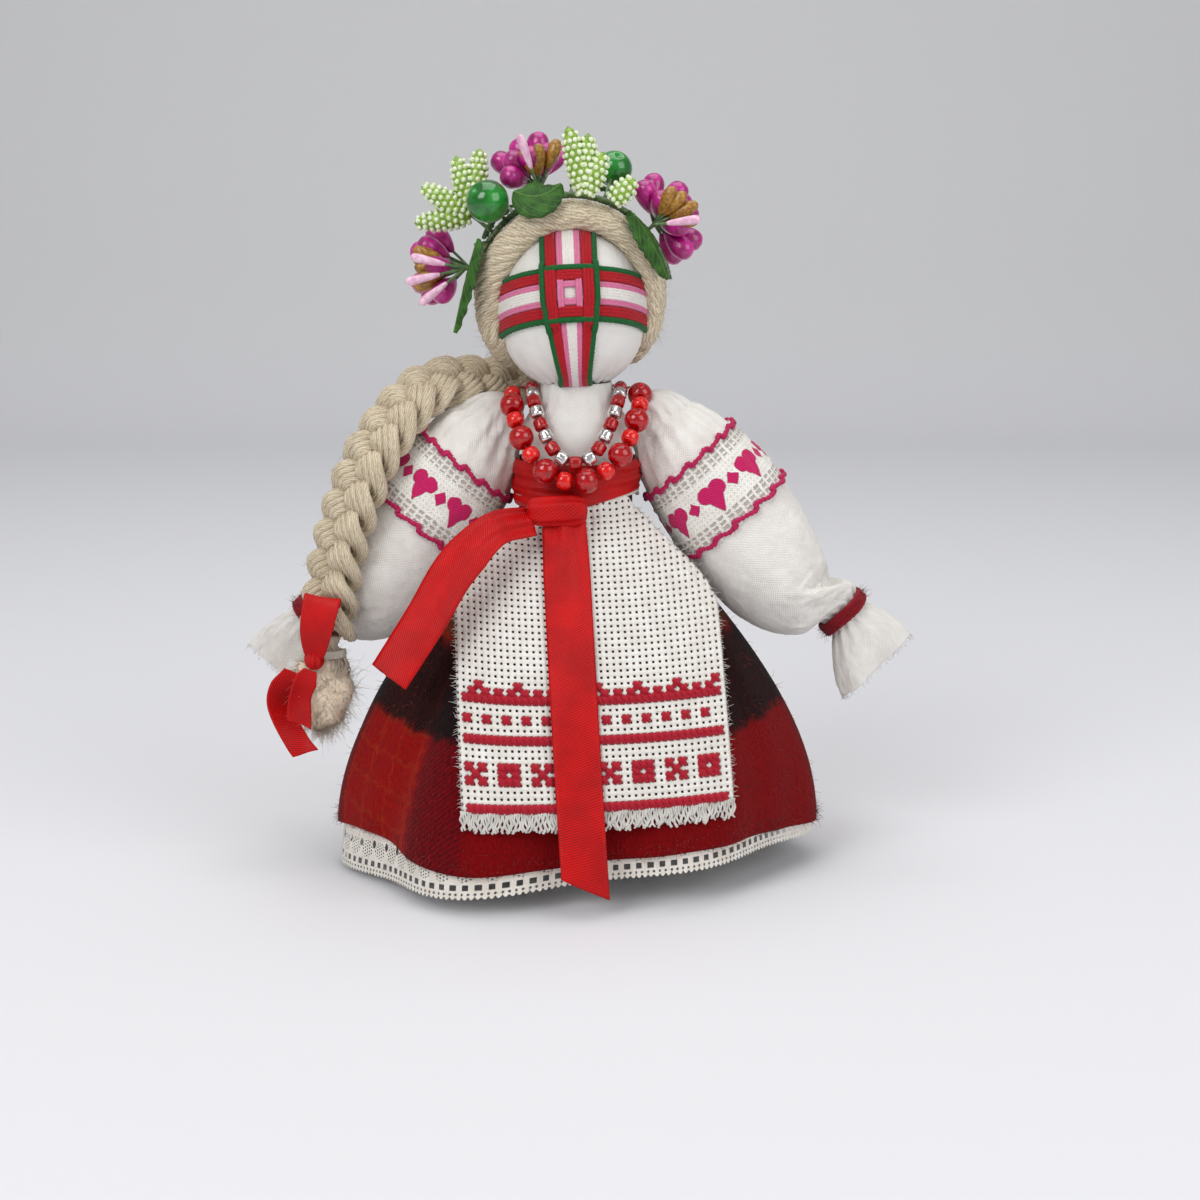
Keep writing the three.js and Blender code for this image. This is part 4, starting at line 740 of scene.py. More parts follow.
knot_low, knot_high = span("sash_knot")
knot_middle = (knot_low + knot_high) / 2
knot_half = (knot_high - knot_low) / 2
KNOT_TURN_OVER = np.array([1.2, 1.0, 1.0])
knot_turn = np.linspace(0, TURN, 73)
knot_across = np.linspace(-1, 1, 61)[:, None]
knot_girth = np.clip(1 - np.abs(knot_across) ** 5.0, 0, 1) ** 0.35
knot_pleat = 1 + 0.07 * np.cos(7 * knot_turn + 1.2 * knot_across)
knot_square = np.stack([np.cos(knot_turn), np.sin(knot_turn)])
knot_square = np.sign(knot_square) * np.abs(knot_square) ** 0.85
knot_under = 1 + 0.35 * np.minimum(knot_square[1], 0)
knot_ring = knot_girth * knot_pleat * knot_square[:, None]
knot_form = spread(knot_across, knot_under * knot_ring[0], knot_ring[1])
knot_points = knot_middle + knot_half * KNOT_TURN_OVER * knot_form
knot_uv = spread(knot_across * 6, knot_turn * 3)
sash_knot = surface("sash_tied_knot", knot_points, knot_uv)
place(sash_knot, "torso", "satin_ribbon", red_satin, "sash_knot")

TAIL_SLANT = 6.0
TAIL_LIE = 1.6
tail_across = np.linspace(-0.5, 0.5, 15)
tail_share = np.linspace(0, 1, 120)[:, None]
tail_top = span("sash_tail_centre")[1][2] + 3.4
tail_bottom = span("sash_tail_centre")[0][2] + 0.2
tail_level = tail_top + (tail_bottom + TAIL_SLANT * (0.5 - tail_across) - tail_top) * tail_share
tail_pinch = 0.92 + 0.08 * np.clip(tail_share / 0.16, 0, 1)
tail_x = -3 + 5.5 * tail_share + RIBBON_WIDTH * tail_pinch * tail_across
tail_wave = 0.5 + 0.35 * np.cos(TURN * (2.1 * tail_share + 0.5 * tail_across))
tail_wave += 0.7 * (1 - tail_share) ** 8 * np.cos(TURN * 2.2 * tail_across)
tail_forward = 2.4 * np.clip(1 - tail_share / 0.15, 0, 1) ** 2
tail_points = spread(tail_x, -drape(tail_x, tail_level) - TAIL_LIE - tail_wave - tail_forward, tail_level)
tail_length = along(tail_points[:, 7])
tail_uv = spread(tail_across * RIBBON_WIDTH, tail_length[:, None])
centre_tail = surface("sash_hanging_tail", tail_points, tail_uv)
thicken(centre_tail, RIBBON, 0)
place(centre_tail, "sash_tail_centre", "satin_ribbon", red_satin, "sash_tail_centre",
      bend=("apron", (-3, -19, 90), (-3, -23, 79)))


def ribbon(path, out, width, slant=0.0, cup=0.0, columns=13):
    """A flat band carried along a path with out for its face: path + across x side + cup x across squared x
    out. Its far end is cut on a slant. Gives the grid and its surface coordinates."""
    forward = unit(np.gradient(path, axis=0))
    side = unit(np.cross(forward, out))
    front = np.cross(side, forward)
    across = np.linspace(-0.5, 0.5, columns)
    length = along(path)
    wanted = length[:, None] * (1 - slant * (across + 0.5) / length[-1])
    frames = np.concatenate([path, side, front], axis=1)
    laid = between(wanted, length, frames)
    breadth = width[:, None] * across
    cupped = (cup * 4 * across**2)[:, None] * laid[..., 6:]
    return laid[..., :3] + breadth[..., None] * laid[..., 3:6] + cupped, spread(breadth, wanted)


side_path = smooth_path([(-10.7, -20.4, 91), (-20, -25.5, 89.5), (-29, -29, 80.5), (-36, -32, 69),
                         (-45, -33.5, 55)], 90)
side_share = np.linspace(0, 1, 90)
side_width = 8 + 3.5 * np.clip(side_share / 0.35, 0, 1) ** 1.5
side_out = spread(-0.2 - 0.25 * side_share, -0.9 + 0 * side_share, 0.45 - 0.1 * side_share)
side_grid, side_uv = ribbon(side_path, side_out, side_width, -4.0, -0.5)
side_fold = np.linspace(-0.5, 0.5, side_grid.shape[1])
side_grid[..., 1] -= 0.8 * (1 - side_share[:, None]) ** 2 * np.cos(TURN * 2 * side_fold)
side_tail = surface("sash_side_tail", side_grid, side_uv)
thicken(side_tail, RIBBON, 0)
place(side_tail, "sash_tail_side", "satin_ribbon", red_satin, "sash_tail_side",
      bend=("apron", (-10, -20.5, 92), (-19, -23, 88)))


# Arms.
# Each is a sleeve of fine cotton over loose stuffing, gathered at the shoulder, drawn in by red wool at the
# wrist and left open as a flared cuff for the hand. Stuffing presses the cloth out, so it is simulated.

SLEEVE_LENGTH = 64.0
WRIST = 4.4
CUFF = 14.0
SHOULDER = 10.0
SLEEVE_COLUMNS = 96
SLEEVE_ROWS = 114
SLEEVE_CLOTH = 0.35
SLEEVE_RADIUS = 13.0
SLEEVE_HALF_WIDTH = 16.4
SHOULDER_HALF_WIDTH = 8.4
SLEEVE_TAPER = 2.8
SLEEVE_FULLNESS = 0.6
SLEEVE_FLATNESS = 0.8
CUFF_FLARE = 6.2
CUFF_HALF_DEPTH = 4.48
ARM_SLOPES = {"left": 46.0, "right": 47.5}
sleeve_s = np.linspace(-SHOULDER, SLEEVE_LENGTH + WRIST + CUFF, SLEEVE_ROWS)[:, None]
sleeve_a = np.linspace(0, TURN, SLEEVE_COLUMNS + 1)


def sleeve_form(s, a, ease):
    """Depth and rise of the sleeve's outline at a distance s down the arm: a puffed tube from the shoulder
    gathers to the wrist, then a flattened flare. Ease is how much slimmer it is before it is pressed out."""
    share = np.clip(s / SLEEVE_LENGTH, 0, 1)
    flare = np.clip((s - SLEEVE_LENGTH - WRIST) / CUFF, 0, 1)
    swell = np.abs(np.sin(np.pi * share)) ** SLEEVE_FULLNESS
    slim = (SHOULDER_HALF_WIDTH - SLEEVE_TAPER * share) * np.sqrt(1 - np.clip(-s / SHOULDER, 0, 1) ** 2)
    half = slim + (SLEEVE_HALF_WIDTH - slim) * swell * (1 - ease) + CUFF_FLARE * np.sin(TURN / 4 * flare)
    deep = np.where(flare > 0, CUFF_HALF_DEPTH + 0.6 * flare, SLEEVE_FLATNESS * half)
    sag = -3 * np.sin(np.pi * share**2.5) - 4 * flare
    wrist_pull = np.exp(-np.abs(s - SLEEVE_LENGTH - WRIST / 2) / 5.5)
    shoulder_pull = np.exp(-np.abs(s) / 9) * np.clip(1 + s / SHOULDER, 0, 1) ** 0.5
    gather = 0.6 * shoulder_pull * np.cos(15 * a) + 0.55 * wrist_pull * np.cos(13 * a + 1)
    pleat = flare**1.5 * (1.3 * np.cos(3 * a + 0.9) + 0.35 * np.cos(7 * a))
    return (deep + gather + pleat) * np.cos(a), sag + (half + gather + 0.4 * pleat) * np.sin(a)


def arm_frame(side):
    """The arm's pivot, and its directions down the arm, front to back and up away from the body."""
    joint = next(joint for joint in frame["joints"] if joint["name"] == side + "_arm_raise")
    sign = 1 if side == "left" else -1
    slope = np.radians(ARM_SLOPES[side])
    down = np.array([sign * np.cos(slope), 0, -np.sin(slope)])
    up = np.array([sign * np.sin(slope), 0, np.cos(slope)])
    return np.array(joint["pos_m"]) / MM, down, np.array([0, 1, 0]), up


def outward(points):
    """Unit normals of a tube's grid, away from its middle, and whether its quads already face that way."""
    normals = unit(np.cross(np.gradient(points, axis=1), np.gradient(points, axis=0)))
    facing = np.sign(np.sum(normals * (points - points.mean(axis=1, keepdims=True))))
    return normals * facing, facing > 0


def settle(points, pinned, seed_push):
    """Presses a cloth tube out from within and lets it wrinkle: a cloth simulation, enlarged, with the pinned
    points held. Gives the settled points in the same grid."""
    enlarge = 20.0
    steps = 24
    rows, columns = points.shape[:2]
    index = np.arange(rows * (columns - 1)).reshape(rows, columns - 1)
    index = np.concatenate([index, index[:, :1]], axis=1)
    quads = spread(index[:-1, :-1], index[:-1, 1:], index[1:, 1:], index[1:, :-1]).reshape(-1, 4)
    mesh = bpy.data.meshes.new("settling")
    mesh.from_pydata((points[:, :-1] + seed_push[:, :-1]).reshape(-1, 3) * MM * enlarge, [], quads.tolist())
    if not outward(points)[1]:
        mesh.flip_normals()
    held = bpy.data.objects.new("settling", mesh)
    bpy.context.scene.collection.objects.link(held)
    group = held.vertex_groups.new(name="held")
    weight = np.broadcast_to(pinned, (rows, columns - 1)).ravel()
    for level in np.unique(weight[weight > 0]):
        group.add(np.nonzero(weight == level)[0].tolist(), float(level), "REPLACE")
    cloth = held.modifiers.new("cloth", "CLOTH")
    cloth.settings.quality = 6
    cloth.settings.mass = 0.3
    cloth.settings.tension_stiffness = 20
    cloth.settings.compression_stiffness = 20
    cloth.settings.shear_stiffness = 8
    cloth.settings.bending_stiffness = 0.6
    cloth.settings.tension_damping = 20
    cloth.settings.air_damping = 4
    cloth.settings.use_pressure = True
    cloth.settings.uniform_pressure_force = 4.4
    cloth.settings.shrink_min = -0.07
    cloth.settings.vertex_group_mass = "held"
    cloth.settings.effector_weights.gravity = 0.12
    cloth.collision_settings.use_collision = False
    cloth.point_cache.frame_start = 1
    cloth.point_cache.frame_end = steps
    for step in range(1, steps + 1):
        bpy.context.scene.frame_set(step)
    settled = held.evaluated_get(bpy.context.evaluated_depsgraph_get()).to_mesh()
    result = np.empty(len(settled.vertices) * 3, np.float32)
    settled.vertices.foreach_get("co", result)
    bpy.data.objects.remove(held)
    bpy.context.scene.frame_set(1)
    grid = result.reshape(rows, columns - 1, 3) / MM / enlarge
    return np.concatenate([grid, grid[:, :1]], axis=1)


def pick(grid, row, column):
    """Points between the points of a grid, at fractional rows and columns."""
    low_row = np.clip(np.floor(row).astype(int), 0, grid.shape[0] - 2)
    low_column = np.clip(np.floor(column).astype(int), 0, grid.shape[1] - 2)
    r = (row - low_row)[..., None]
    c = (column - low_column)[..., None]
    upper = grid[low_row, low_column] * (1 - c) + grid[low_row, low_column + 1] * c
    lower = grid[low_row + 1, low_column] * (1 - c) + grid[low_row + 1, low_column + 1] * c
    return upper * (1 - r) + lower * r


TRIM_FROM = 9.0
TRIM_TO = 27.5
TRIM_MIDDLE = (TRIM_TO - TRIM_FROM) / 2
TRIM_CLOTH = 0.4
TRIM_LIE = 0.55
HEART_PITCH = 11.2
SCALLOP = 5.8
CHAIN_LIE = 0.85
CHAIN_THREAD = 0.62
WRIST_YARN = 0.62
WRIST_FIBRES = 320
CUFF_FIBRES = 150
trim_made, trim_shade = material("openwork_trim", {
    "Roughness": 0.85, "Sheen Weight": 0.2, "Specular IOR Level": 0.2})
trim_around, trim_down = trim_shade.uv()
heart_x = trim_around.saw(HEART_PITCH) / 3.5
heart_y = (trim_down - TRIM_MIDDLE - 0.3) / -3.4
lobes = (heart_x.size() - 0.46) ** 2 + (heart_y - 0.35) ** 2
taper = heart_x.size() * 0.92 - heart_y * 0.5 - 0.62
heart_point = taper.rise(0.06, -0.04) * (heart_y - 0.35).rise(0.06, -0.04) * (heart_y + 1.2).rise(-0.02, 0.06)
heart = lobes.rise(0.34, 0.26).most(heart_point)
off_middle = (trim_down - TRIM_MIDDLE).size()
diamond_x = (trim_around + HEART_PITCH / 2).saw(HEART_PITCH).size()
diamond = (diamond_x + off_middle).rise(1.9, 1.6)
satin_stitch = heart.most(diamond)
open_row = (off_middle - 6.4).size().rise(1.7, 1.4)
mesh_hole = trim_around.saw(2.05).size().rise(0.75, 0.5) * trim_down.saw(1.25).size().rise(0.42, 0.25)
mesh_open = open_row * mesh_hole
trim_weave = trim_around.wave(0.7) * trim_down.wave(0.7)
trim_white = (trim_shade.grain(4.0) * 0.8 + trim_weave * 0.25).rise(0.05, 0.75)
gauze = trim_around.saw(1.05).size().rise(0.34, 0.14) * trim_down.saw(1.05).size().rise(0.34, 0.14)
trim_colour = trim_white.mix(tint(222, 216, 206), tint(243, 241, 236))
# Painted shade: the open holes and the gauze's fine holes are painted grey for the shade seen through them.
trim_colour = (mesh_open + gauze * 0.4).mix(trim_colour, tint(178, 171, 163))
# Painted light and shade: each satin stitch is lighter along its ridge and darker between stitches.
stitch_line = (trim_around * 0.3 + trim_down).wave(0.5) * 0.5 + 0.5
trim_colour = satin_stitch.mix(trim_colour, stitch_line.mix(tint(170, 14, 74), tint(214, 34, 108)))
trim_height = satin_stitch * (stitch_line * 0.06 + 0.3) - mesh_open * 0.25 + trim_weave * 0.05
trim_made = feed(trim_made, {"Base Color": trim_colour, "Normal": trim_height.bump()})
sleeve_cotton = cotton("sleeve_cotton", tint(239, 236, 231), tint(220, 215, 208), 0.34)
stuffing_made = cotton("stuffing_fill", tint(236, 232, 224), tint(212, 206, 198), 0.9)
raspberry_chain = thread("raspberry_chain", tint(204, 22, 96), tint(140, 8, 58), 1.6, 0.45)
wrist_wool = thread("wrist_wool", tint(158, 18, 34), tint(96, 6, 16), 1.4, 0.9)

for side in ("left", "right"):
    body = side + "_arm"
    pivot, arm_down, arm_deep, arm_up = arm_frame(side)

    def on_arm(s, depth, rise):
        """A point of the arm from its distance down, its depth and its rise."""
        parts = np.broadcast_arrays(s, depth, rise)
        return pivot + sum(part[..., None] * way for part, way in zip(parts, (arm_down, arm_deep, arm_up)))

    luck = np.random.default_rng(21 if side == "left" else 22)
    sleeve_points = on_arm(sleeve_s, *sleeve_form(sleeve_s, sleeve_a, 0.06))
    wrist_zone = np.abs(sleeve_s - SLEEVE_LENGTH - WRIST / 2) < WRIST / 2 + 0.8
    pinned = np.where(wrist_zone | (sleeve_s < -5) | (sleeve_s > SLEEVE_LENGTH + WRIST), 1.0, 0.0)
    push = luck.normal(0, 0.12, sleeve_points.shape)
    push[:, -1] = push[:, 0]
    sleeve_points = settle(sleeve_points, pinned, push)
    sleeve_out = outward(sleeve_points)[0]
    sleeve_uv = spread(sleeve_a * SLEEVE_RADIUS, sleeve_s)
    sleeve = surface("sleeve_cloth_" + side, sleeve_points, sleeve_uv)
    thicken(sleeve, SLEEVE_CLOTH)
    smooth = sleeve.modifiers.new("smooth", "SUBSURF")
    smooth.levels = 1
    smooth.render_levels = 1
    place(sleeve, body, "white_cotton", sleeve_cotton, side + "_sleeve",
          bend=("torso", pivot - 6 * arm_down, pivot + 10 * arm_down))

    def row_at(s):
        """The fractional row of the sleeve's grid at a distance down the arm."""
        return (s + SHOULDER) * (SLEEVE_ROWS - 1) / np.ptp(sleeve_s)

    fill_s = np.linspace(2, SLEEVE_LENGTH - 3, 24)[:, None]
    fill_column = np.linspace(0, SLEEVE_COLUMNS, 33)
    fill_shell = pick(sleeve_points, *np.broadcast_arrays(row_at(fill_s), fill_column))
    fill_axis = fill_shell.mean(axis=1, keepdims=True)
    fill_size = np.minimum(0.84, (fill_s - 2) / 3 * (SLEEVE_LENGTH - 3 - fill_s) / 3)[..., None]
    stuffing = surface("stuffing_" + side, fill_axis + (fill_shell - fill_axis) * fill_size, np.zeros(2))
    place(stuffing, body, "stuffing", stuffing_made, side + "_arm_stuffing")

    band_s = np.linspace(TRIM_FROM, TRIM_TO, 40)[:, None]
    band_column = np.linspace(0, SLEEVE_COLUMNS, 141)
    at_band = np.broadcast_arrays(row_at(band_s), band_column)
    band_grid = pick(sleeve_points, *at_band) + TRIM_LIE * unit(pick(sleeve_out, *at_band))
    band_girth = along(band_grid[20])[-1]
    band_repeats = round(band_girth / HEART_PITCH)
    band_around = (band_column / SLEEVE_COLUMNS * band_repeats + 0.5) * HEART_PITCH
    band_uv = spread(band_around, band_s - TRIM_FROM)
    trim = surface("openwork_band_" + side, band_grid, band_uv)
    thicken(trim, TRIM_CLOTH)
    place(trim, body, "white_cotton", trim_made, side + "_sleeve_trim")

    scallops = round(band_girth / SCALLOP)
    chain_a = np.linspace(0, 1, 40 * scallops)
    chain_swing = 1.1 * (scallops * chain_a % 1) ** 1.3
    chain_s = np.stack([TRIM_FROM + 0.3 + chain_swing, TRIM_TO - 0.3 - chain_swing])
    at_chain = np.broadcast_arrays(row_at(chain_s), chain_a * SLEEVE_COLUMNS)
    chain_out = unit(pick(sleeve_out, *at_chain))
    chain_path = pick(sleeve_points, *at_chain) + CHAIN_LIE * chain_out
    chain_thick = CHAIN_THREAD + 0.08 * np.cos(TURN * scallops * chain_a)
    chain = surface("chain_stitch_" + side, *strand(chain_path, chain_thick, chain_out, 2.4, 2, 0.18, 8))
    place(chain, body, "white_cotton", raspberry_chain)

    wind = np.linspace(0, 4 * TURN, 260)
    wind_s = SLEEVE_LENGTH + WRIST / 2 + np.linspace(-1.5, 1.5, wind.size) + 0.15 * np.sin(wind * 3.3)
    wind_path = on_arm(wind_s, 5.5 * np.cos(wind), 6.6 * np.sin(wind) - 0.2)
    wind_out = unit(on_arm(0, np.cos(wind), np.sin(wind)) - pivot)
    wrist_tie = surface("wrist_yarn_" + side, *strand(wind_path, WRIST_YARN, wind_out, 2.2, 2, 0.2, 10))
    place(wrist_tie, body, "binding_thread", wrist_wool, side + "_wrist_tie")
    fuzz_at = luck.integers(5, 255, WRIST_FIBRES)
    wrist_way = wind_out[fuzz_at] + luck.normal(0, 0.8, (WRIST_FIBRES, 3))
    wrist_fuzz = fibres("wrist_fuzz_" + side, wind_path[fuzz_at] + 0.5 * wind_out[fuzz_at], wrist_way,
                        luck.uniform(0.6, 2.0, WRIST_FIBRES), 0.05, 31)
    place(wrist_fuzz, body, "binding_thread", wrist_wool)

    frill_column = luck.integers(0, SLEEVE_COLUMNS, CUFF_FIBRES)
    frill_root = sleeve_points[-1, frill_column]
    frill_way = frill_root - sleeve_points[-3, frill_column] + luck.normal(0, 0.5, (CUFF_FIBRES, 3))
    frill = fibres("cuff_fray_" + side, frill_root, frill_way, luck.uniform(0.4, 1.3, CUFF_FIBRES), 0.07, 33)
    place(frill, body, "white_cotton", sleeve_cotton)


# Head.
# A ball of stuffing pulled into a square of white cotton and tied off at the neck. It leans a little to one
# side.

HEAD_RADIUS = 18.4
HEAD_HEIGHT = 20.3
HEAD_CENTRE = 20.0
HEAD_CLOTH = 0.5
JAW = 0.833
head_joint = next(joint for joint in frame["joints"] if joint["name"] == "head_turn")
head_foot = np.array(head_joint["pos_m"]) / MM
head_up = unit(np.array(head_joint["axis"]))
head_side = unit(np.cross((0, 1, 0), head_up))
head_basis = np.stack([head_side, (0, 1, 0), head_up])


def on_head(points):
    """Points given in the head's own leaning frame, moved to where the head stands."""
    return head_foot + np.asarray(points, float) @ head_basis


def turned(vectors):
    """Directions given in the head's own frame, leant with it."""
    return on_head(vectors) - head_foot


def egg(way, lift):
    """The point of the head's egg shape for a unit direction, and lift further out. Above its middle the
    outline is an ellipse. Below, its girth and drop are raised to the power JAW, which fills out the jaw."""
    reach = np.array([HEAD_RADIUS, HEAD_RADIUS, HEAD_HEIGHT]) + np.asarray(lift)[..., None]
    low = np.clip(-way[..., 2], 0, 1)
    wider = np.where(low > 0, np.clip(np.hypot(way[..., 0], way[..., 1]), 1e-6, 1) ** (JAW - 1), 1.0)
    shape = spread(way[..., 0] * wider, way[..., 1] * wider, np.where(low > 0, -(low**JAW), way[..., 2]))
    return shape * reach + np.array([0, 0, HEAD_CENTRE])


def ball(rows, columns, lowest=-np.pi / 2):
    """Unit directions over a sphere, from a lowest latitude to the top, as a grid."""
    rise = np.linspace(lowest, np.pi / 2, rows)[:, None]
    turn = np.linspace(0, TURN, columns)
    return spread(np.cos(rise) * np.cos(turn), np.cos(rise) * np.sin(turn), np.sin(rise))


head_ways = ball(64, 129, np.radians(-69))
head_gather = 0.5 * np.exp(-(head_ways[..., 2] + 0.93) / 0.16) * np.cos(21 * np.linspace(0, TURN, 129))
head_points = on_head(egg(head_ways, head_gather - 0.05))
head_uv = spread(np.linspace(0, TURN, 129) * HEAD_RADIUS, np.linspace(-1.2, 1.57, 64)[:, None] * HEAD_HEIGHT)
head = surface("head_cover", head_points, head_uv)
thicken(head, HEAD_CLOTH)
place(head, "head", "white_cotton", fine_cotton, "head_cloth")
ball_ways = ball(24, 37)
head_fill = surface("head_fill", on_head(egg(ball_ways, -1.6)), np.zeros(2))
place(head_fill, "head", "stuffing", stuffing_made, "head_stuffing")


# Face.
# Coloured embroidery thread wound round the head upright and level, so that it crosses on the face: white
# first, then pink, red and green at the outer edges. Each colour passes over the ones wound before it.

FACE_THREAD = 1.35
CROSS_UP = 3.8
CROSS_TILT = np.tan(np.radians(18))
LAYER = 0.9
FACE_LIE = 0.5
COLOURS = {
    "white": ((-0.75, -0.25, 0.25, 0.75), 0.95, 0.0, tint(243, 240, 234), tint(214, 206, 198)),
    "pink": ((-1.75, -1.28, 1.28, 1.75), 0.95, 1.0, tint(228, 136, 172), tint(196, 92, 134)),
    "red": ((-3.7, -3.13, -2.57, 2.57, 3.13, 3.7), 1.1, 2.0, tint(198, 20, 34), tint(138, 6, 20)),
    "green": ((-4.5, 4.5), 1.5, 4.0, tint(20, 108, 48), tint(6, 62, 24)),
}


def hump(distance, half):
    """1 within half of a band's middle, falling smoothly to 0 one thread further out."""
    share = np.clip((half + 1.1 - np.abs(distance)) / 1.1, 0, 1)
    return share**2 * (3 - 2 * share)


for colour, (lanes, width, inner, light, dark) in COLOURS.items():
    lanes = np.array(lanes)[:, None] * FACE_THREAD
    inner = inner * FACE_THREAD
    outer = np.abs(lanes).max() + width / 2
    climb = np.radians(np.linspace(-66, 246, 190))
    squeeze = 1 - 0.5 * np.clip((0.1 - np.sin(climb)) / 0.9, 0, 1)
    nx = lanes * squeeze / HEAD_RADIUS
    ring = np.sqrt(1 - nx**2)
    upright_way = spread(nx, -ring * np.cos(climb), ring * np.sin(climb))
    sloped = HEAD_RADIUS * (1 + upright_way[..., 1]) * CROSS_TILT
    level_of = HEAD_HEIGHT * upright_way[..., 2] + sloped - CROSS_UP
    upright_lift = FACE_LIE + LAYER * hump(level_of, outer + 0.2) * (inner > 0)
    turn = np.linspace(-np.pi, np.pi, climb.size)
    nz = 0 * turn + 0 * lanes
    for step in range(6):
        ny = -np.sqrt(1 - nz**2) * np.cos(turn)
        wanted = (CROSS_UP + lanes - HEAD_RADIUS * (1 + ny) * CROSS_TILT) / HEAD_HEIGHT
        nz = np.where(wanted < 0, -(np.abs(wanted) ** (1 / JAW)), wanted)
    flat_ring = np.sqrt(1 - nz**2)
    level_way = spread(flat_ring * np.sin(turn), -flat_ring * np.cos(turn), nz)
    level_lift = FACE_LIE + LAYER * hump(level_way[..., 0] * HEAD_RADIUS, inner - 0.4) * (inner > 0)
    ways = np.concatenate([upright_way, level_way])
    path = egg(ways, np.concatenate([upright_lift, level_lift]))
    grid, uv = strand(path, width / 2, ways, 3.2, 3, 0.1, 8, 0.85)
    face = surface("face_strands_" + colour, on_head(grid), uv)
    face_made = thread("face_" + colour, light, dark, 1.1, 0.75)
    place(face, "head", colour + "_thread", face_made, "face_thread_" + colour)


# Hair.
# Thick cream wool yarn laid over the head in loops that gather behind the neck. The foremost yarns make a
# soft roll round the face, slanting outwards as they come down on either side, and loose fibres stand off it.

HAIR_RADIUS = 23.4
HAIR_HEIGHT = 24.3
HAIR_CENTRE = 21.0
YARN = 1.3
HAIR_AXIS_Y = 6.0
HAIR_AXIS_Z = 5.0
HAIR_LOOPS = 27
UNDER_LOOPS = 5
UNDER_DEPTH = 1.9
FRONT_YARNS = 8
FRONT_YARN = 1.25
FRONT_LAY = 21.0
SCALP_THICK = 0.8
NAPE_YARNS = 6
NAPE_YARN = 1.7
NAPE_BUNCH = 2.6
LOOP_FIBRES = 600
FRONT_FIBRES = 1100
HAIR_FIBRES = LOOP_FIBRES + FRONT_FIBRES


def wool(name, light, dark):
    """Softly spun wool: fine fibres that wander along the yarn, with painted shade in the hollows between
    them.
    """
    made, shade = material(name, {"Roughness": 0.95, "Sheen Weight": 0.12, "Specular IOR Level": 0.12})
    around, down = shade.uv()
    line = (around + down * 0.3 + shade.grain(1.5) * 1.4).wave(TURN / 9) * 0.5 + 0.5
    # Painted shade in the hollows between the fibre lines, with random tone, sets the yarn's colour.
    fibre = line * 0.3 + shade.grain(0.6) * 0.35 + shade.grain(3.5) * 0.35
    return feed(made, {"Base Color": fibre.rise(0.2, 0.75).mix(dark, light),
                       "Normal": (line * 0.07 + shade.grain(0.5) * 0.15).bump()})


cream_wool = wool("cream_wool", tint(226, 214, 190), tint(172, 154, 124))
luck = np.random.default_rng(41)
loop_degrees = np.concatenate([np.linspace(104, 8, HAIR_LOOPS), np.linspace(102, 88, UNDER_LOOPS)])
loop_angle = np.radians(loop_degrees)[:, None]
loop_deep = np.repeat([0, UNDER_DEPTH], [HAIR_LOOPS, UNDER_LOOPS])[:, None]
loop_turn = np.radians(np.linspace(2, 178, 110))
loop_phase = luck.uniform(0, TURN, loop_angle.shape)
loop_tilt = loop_angle + 0.05 * np.sin(2.3 * loop_turn + loop_phase) - 0.10 * np.cos(loop_turn)
loop_y, loop_z = np.cos(loop_tilt), np.sin(loop_tilt)
loop_lie = 0.35 * np.sin(3 * loop_turn + 2 * loop_phase)
rx = HAIR_RADIUS - YARN - loop_deep + loop_lie
rz = HAIR_HEIGHT - YARN - loop_deep + loop_lie
sin_turn, cos_turn = np.sin(loop_turn), np.cos(loop_turn)
level_gap = HAIR_AXIS_Z - HAIR_CENTRE
quad_a = (cos_turn / rx) ** 2 + (sin_turn * loop_y / rx) ** 2 + (sin_turn * loop_z / rz) ** 2
quad_b = sin_turn * (HAIR_AXIS_Y * loop_y / rx**2 + level_gap * loop_z / rz**2)
quad_c = (HAIR_AXIS_Y / rx) ** 2 + (level_gap / rz) ** 2 - 1
loop_reach = (-quad_b + np.sqrt(quad_b**2 - quad_a * quad_c)) / quad_a
loop_arm = loop_reach * sin_turn
hair_paths = spread(loop_reach * cos_turn, HAIR_AXIS_Y + loop_arm * loop_y, HAIR_AXIS_Z + loop_arm * loop_z)
hair_out = unit(hair_paths - np.array([0, 0, HAIR_CENTRE]))
hair_grid, hair_uv = strand(hair_paths, YARN, hair_out, 9.0, 2, 0.1, 12)
hair = surface("hair_yarn", on_head(hair_grid), hair_uv)
place(hair, "head", "wool_yarn", cream_wool, "hair")
front_turn = np.radians(np.linspace(200, -24, 17))
front_ring = spread(0.2 + 19.9 * np.cos(front_turn), 0 * front_turn, 20.8 + 20.6 * np.sin(front_turn))
front_ring[:, 1] = -3.2 - 0.25 * (front_ring[:, 2] - HEAD_CENTRE)
front_knots = np.vstack([[(-8, 16.5, 8), (-15.5, 11, 7.6)], front_ring, [(15.5, 11, 9), (8, 16.5, 8)]])
front_path = smooth_path(front_knots, 220)
front_way = unit(np.gradient(front_path, axis=0))
front_out = unit(front_path - np.array([0, 4, HAIR_CENTRE]))
front_side = unit(np.cross(front_way, front_out))
front_out = np.cross(front_side, front_way)
front_length = along(front_path)
front_from_top = front_length - front_length[np.argmax(front_path[:, 2])]
front_thick = 3.6 - 0.7 * front_path[:, 0] / 20 - 0.3 * np.clip((front_path[:, 2] - 35) / 6, 0, 1)
front_thick *= np.clip(front_length * (front_length[-1] - front_length) / 700, 0.4, 1)
front_twist = TURN * np.hypot(front_from_top, 6) / FRONT_LAY
front_lie = TURN * np.arange(FRONT_YARNS)[:, None] / FRONT_YARNS + front_twist
front_outs = wheel(front_lie, front_side, front_out)
front_paths = front_path + (front_thick - FRONT_YARN)[:, None] * front_outs
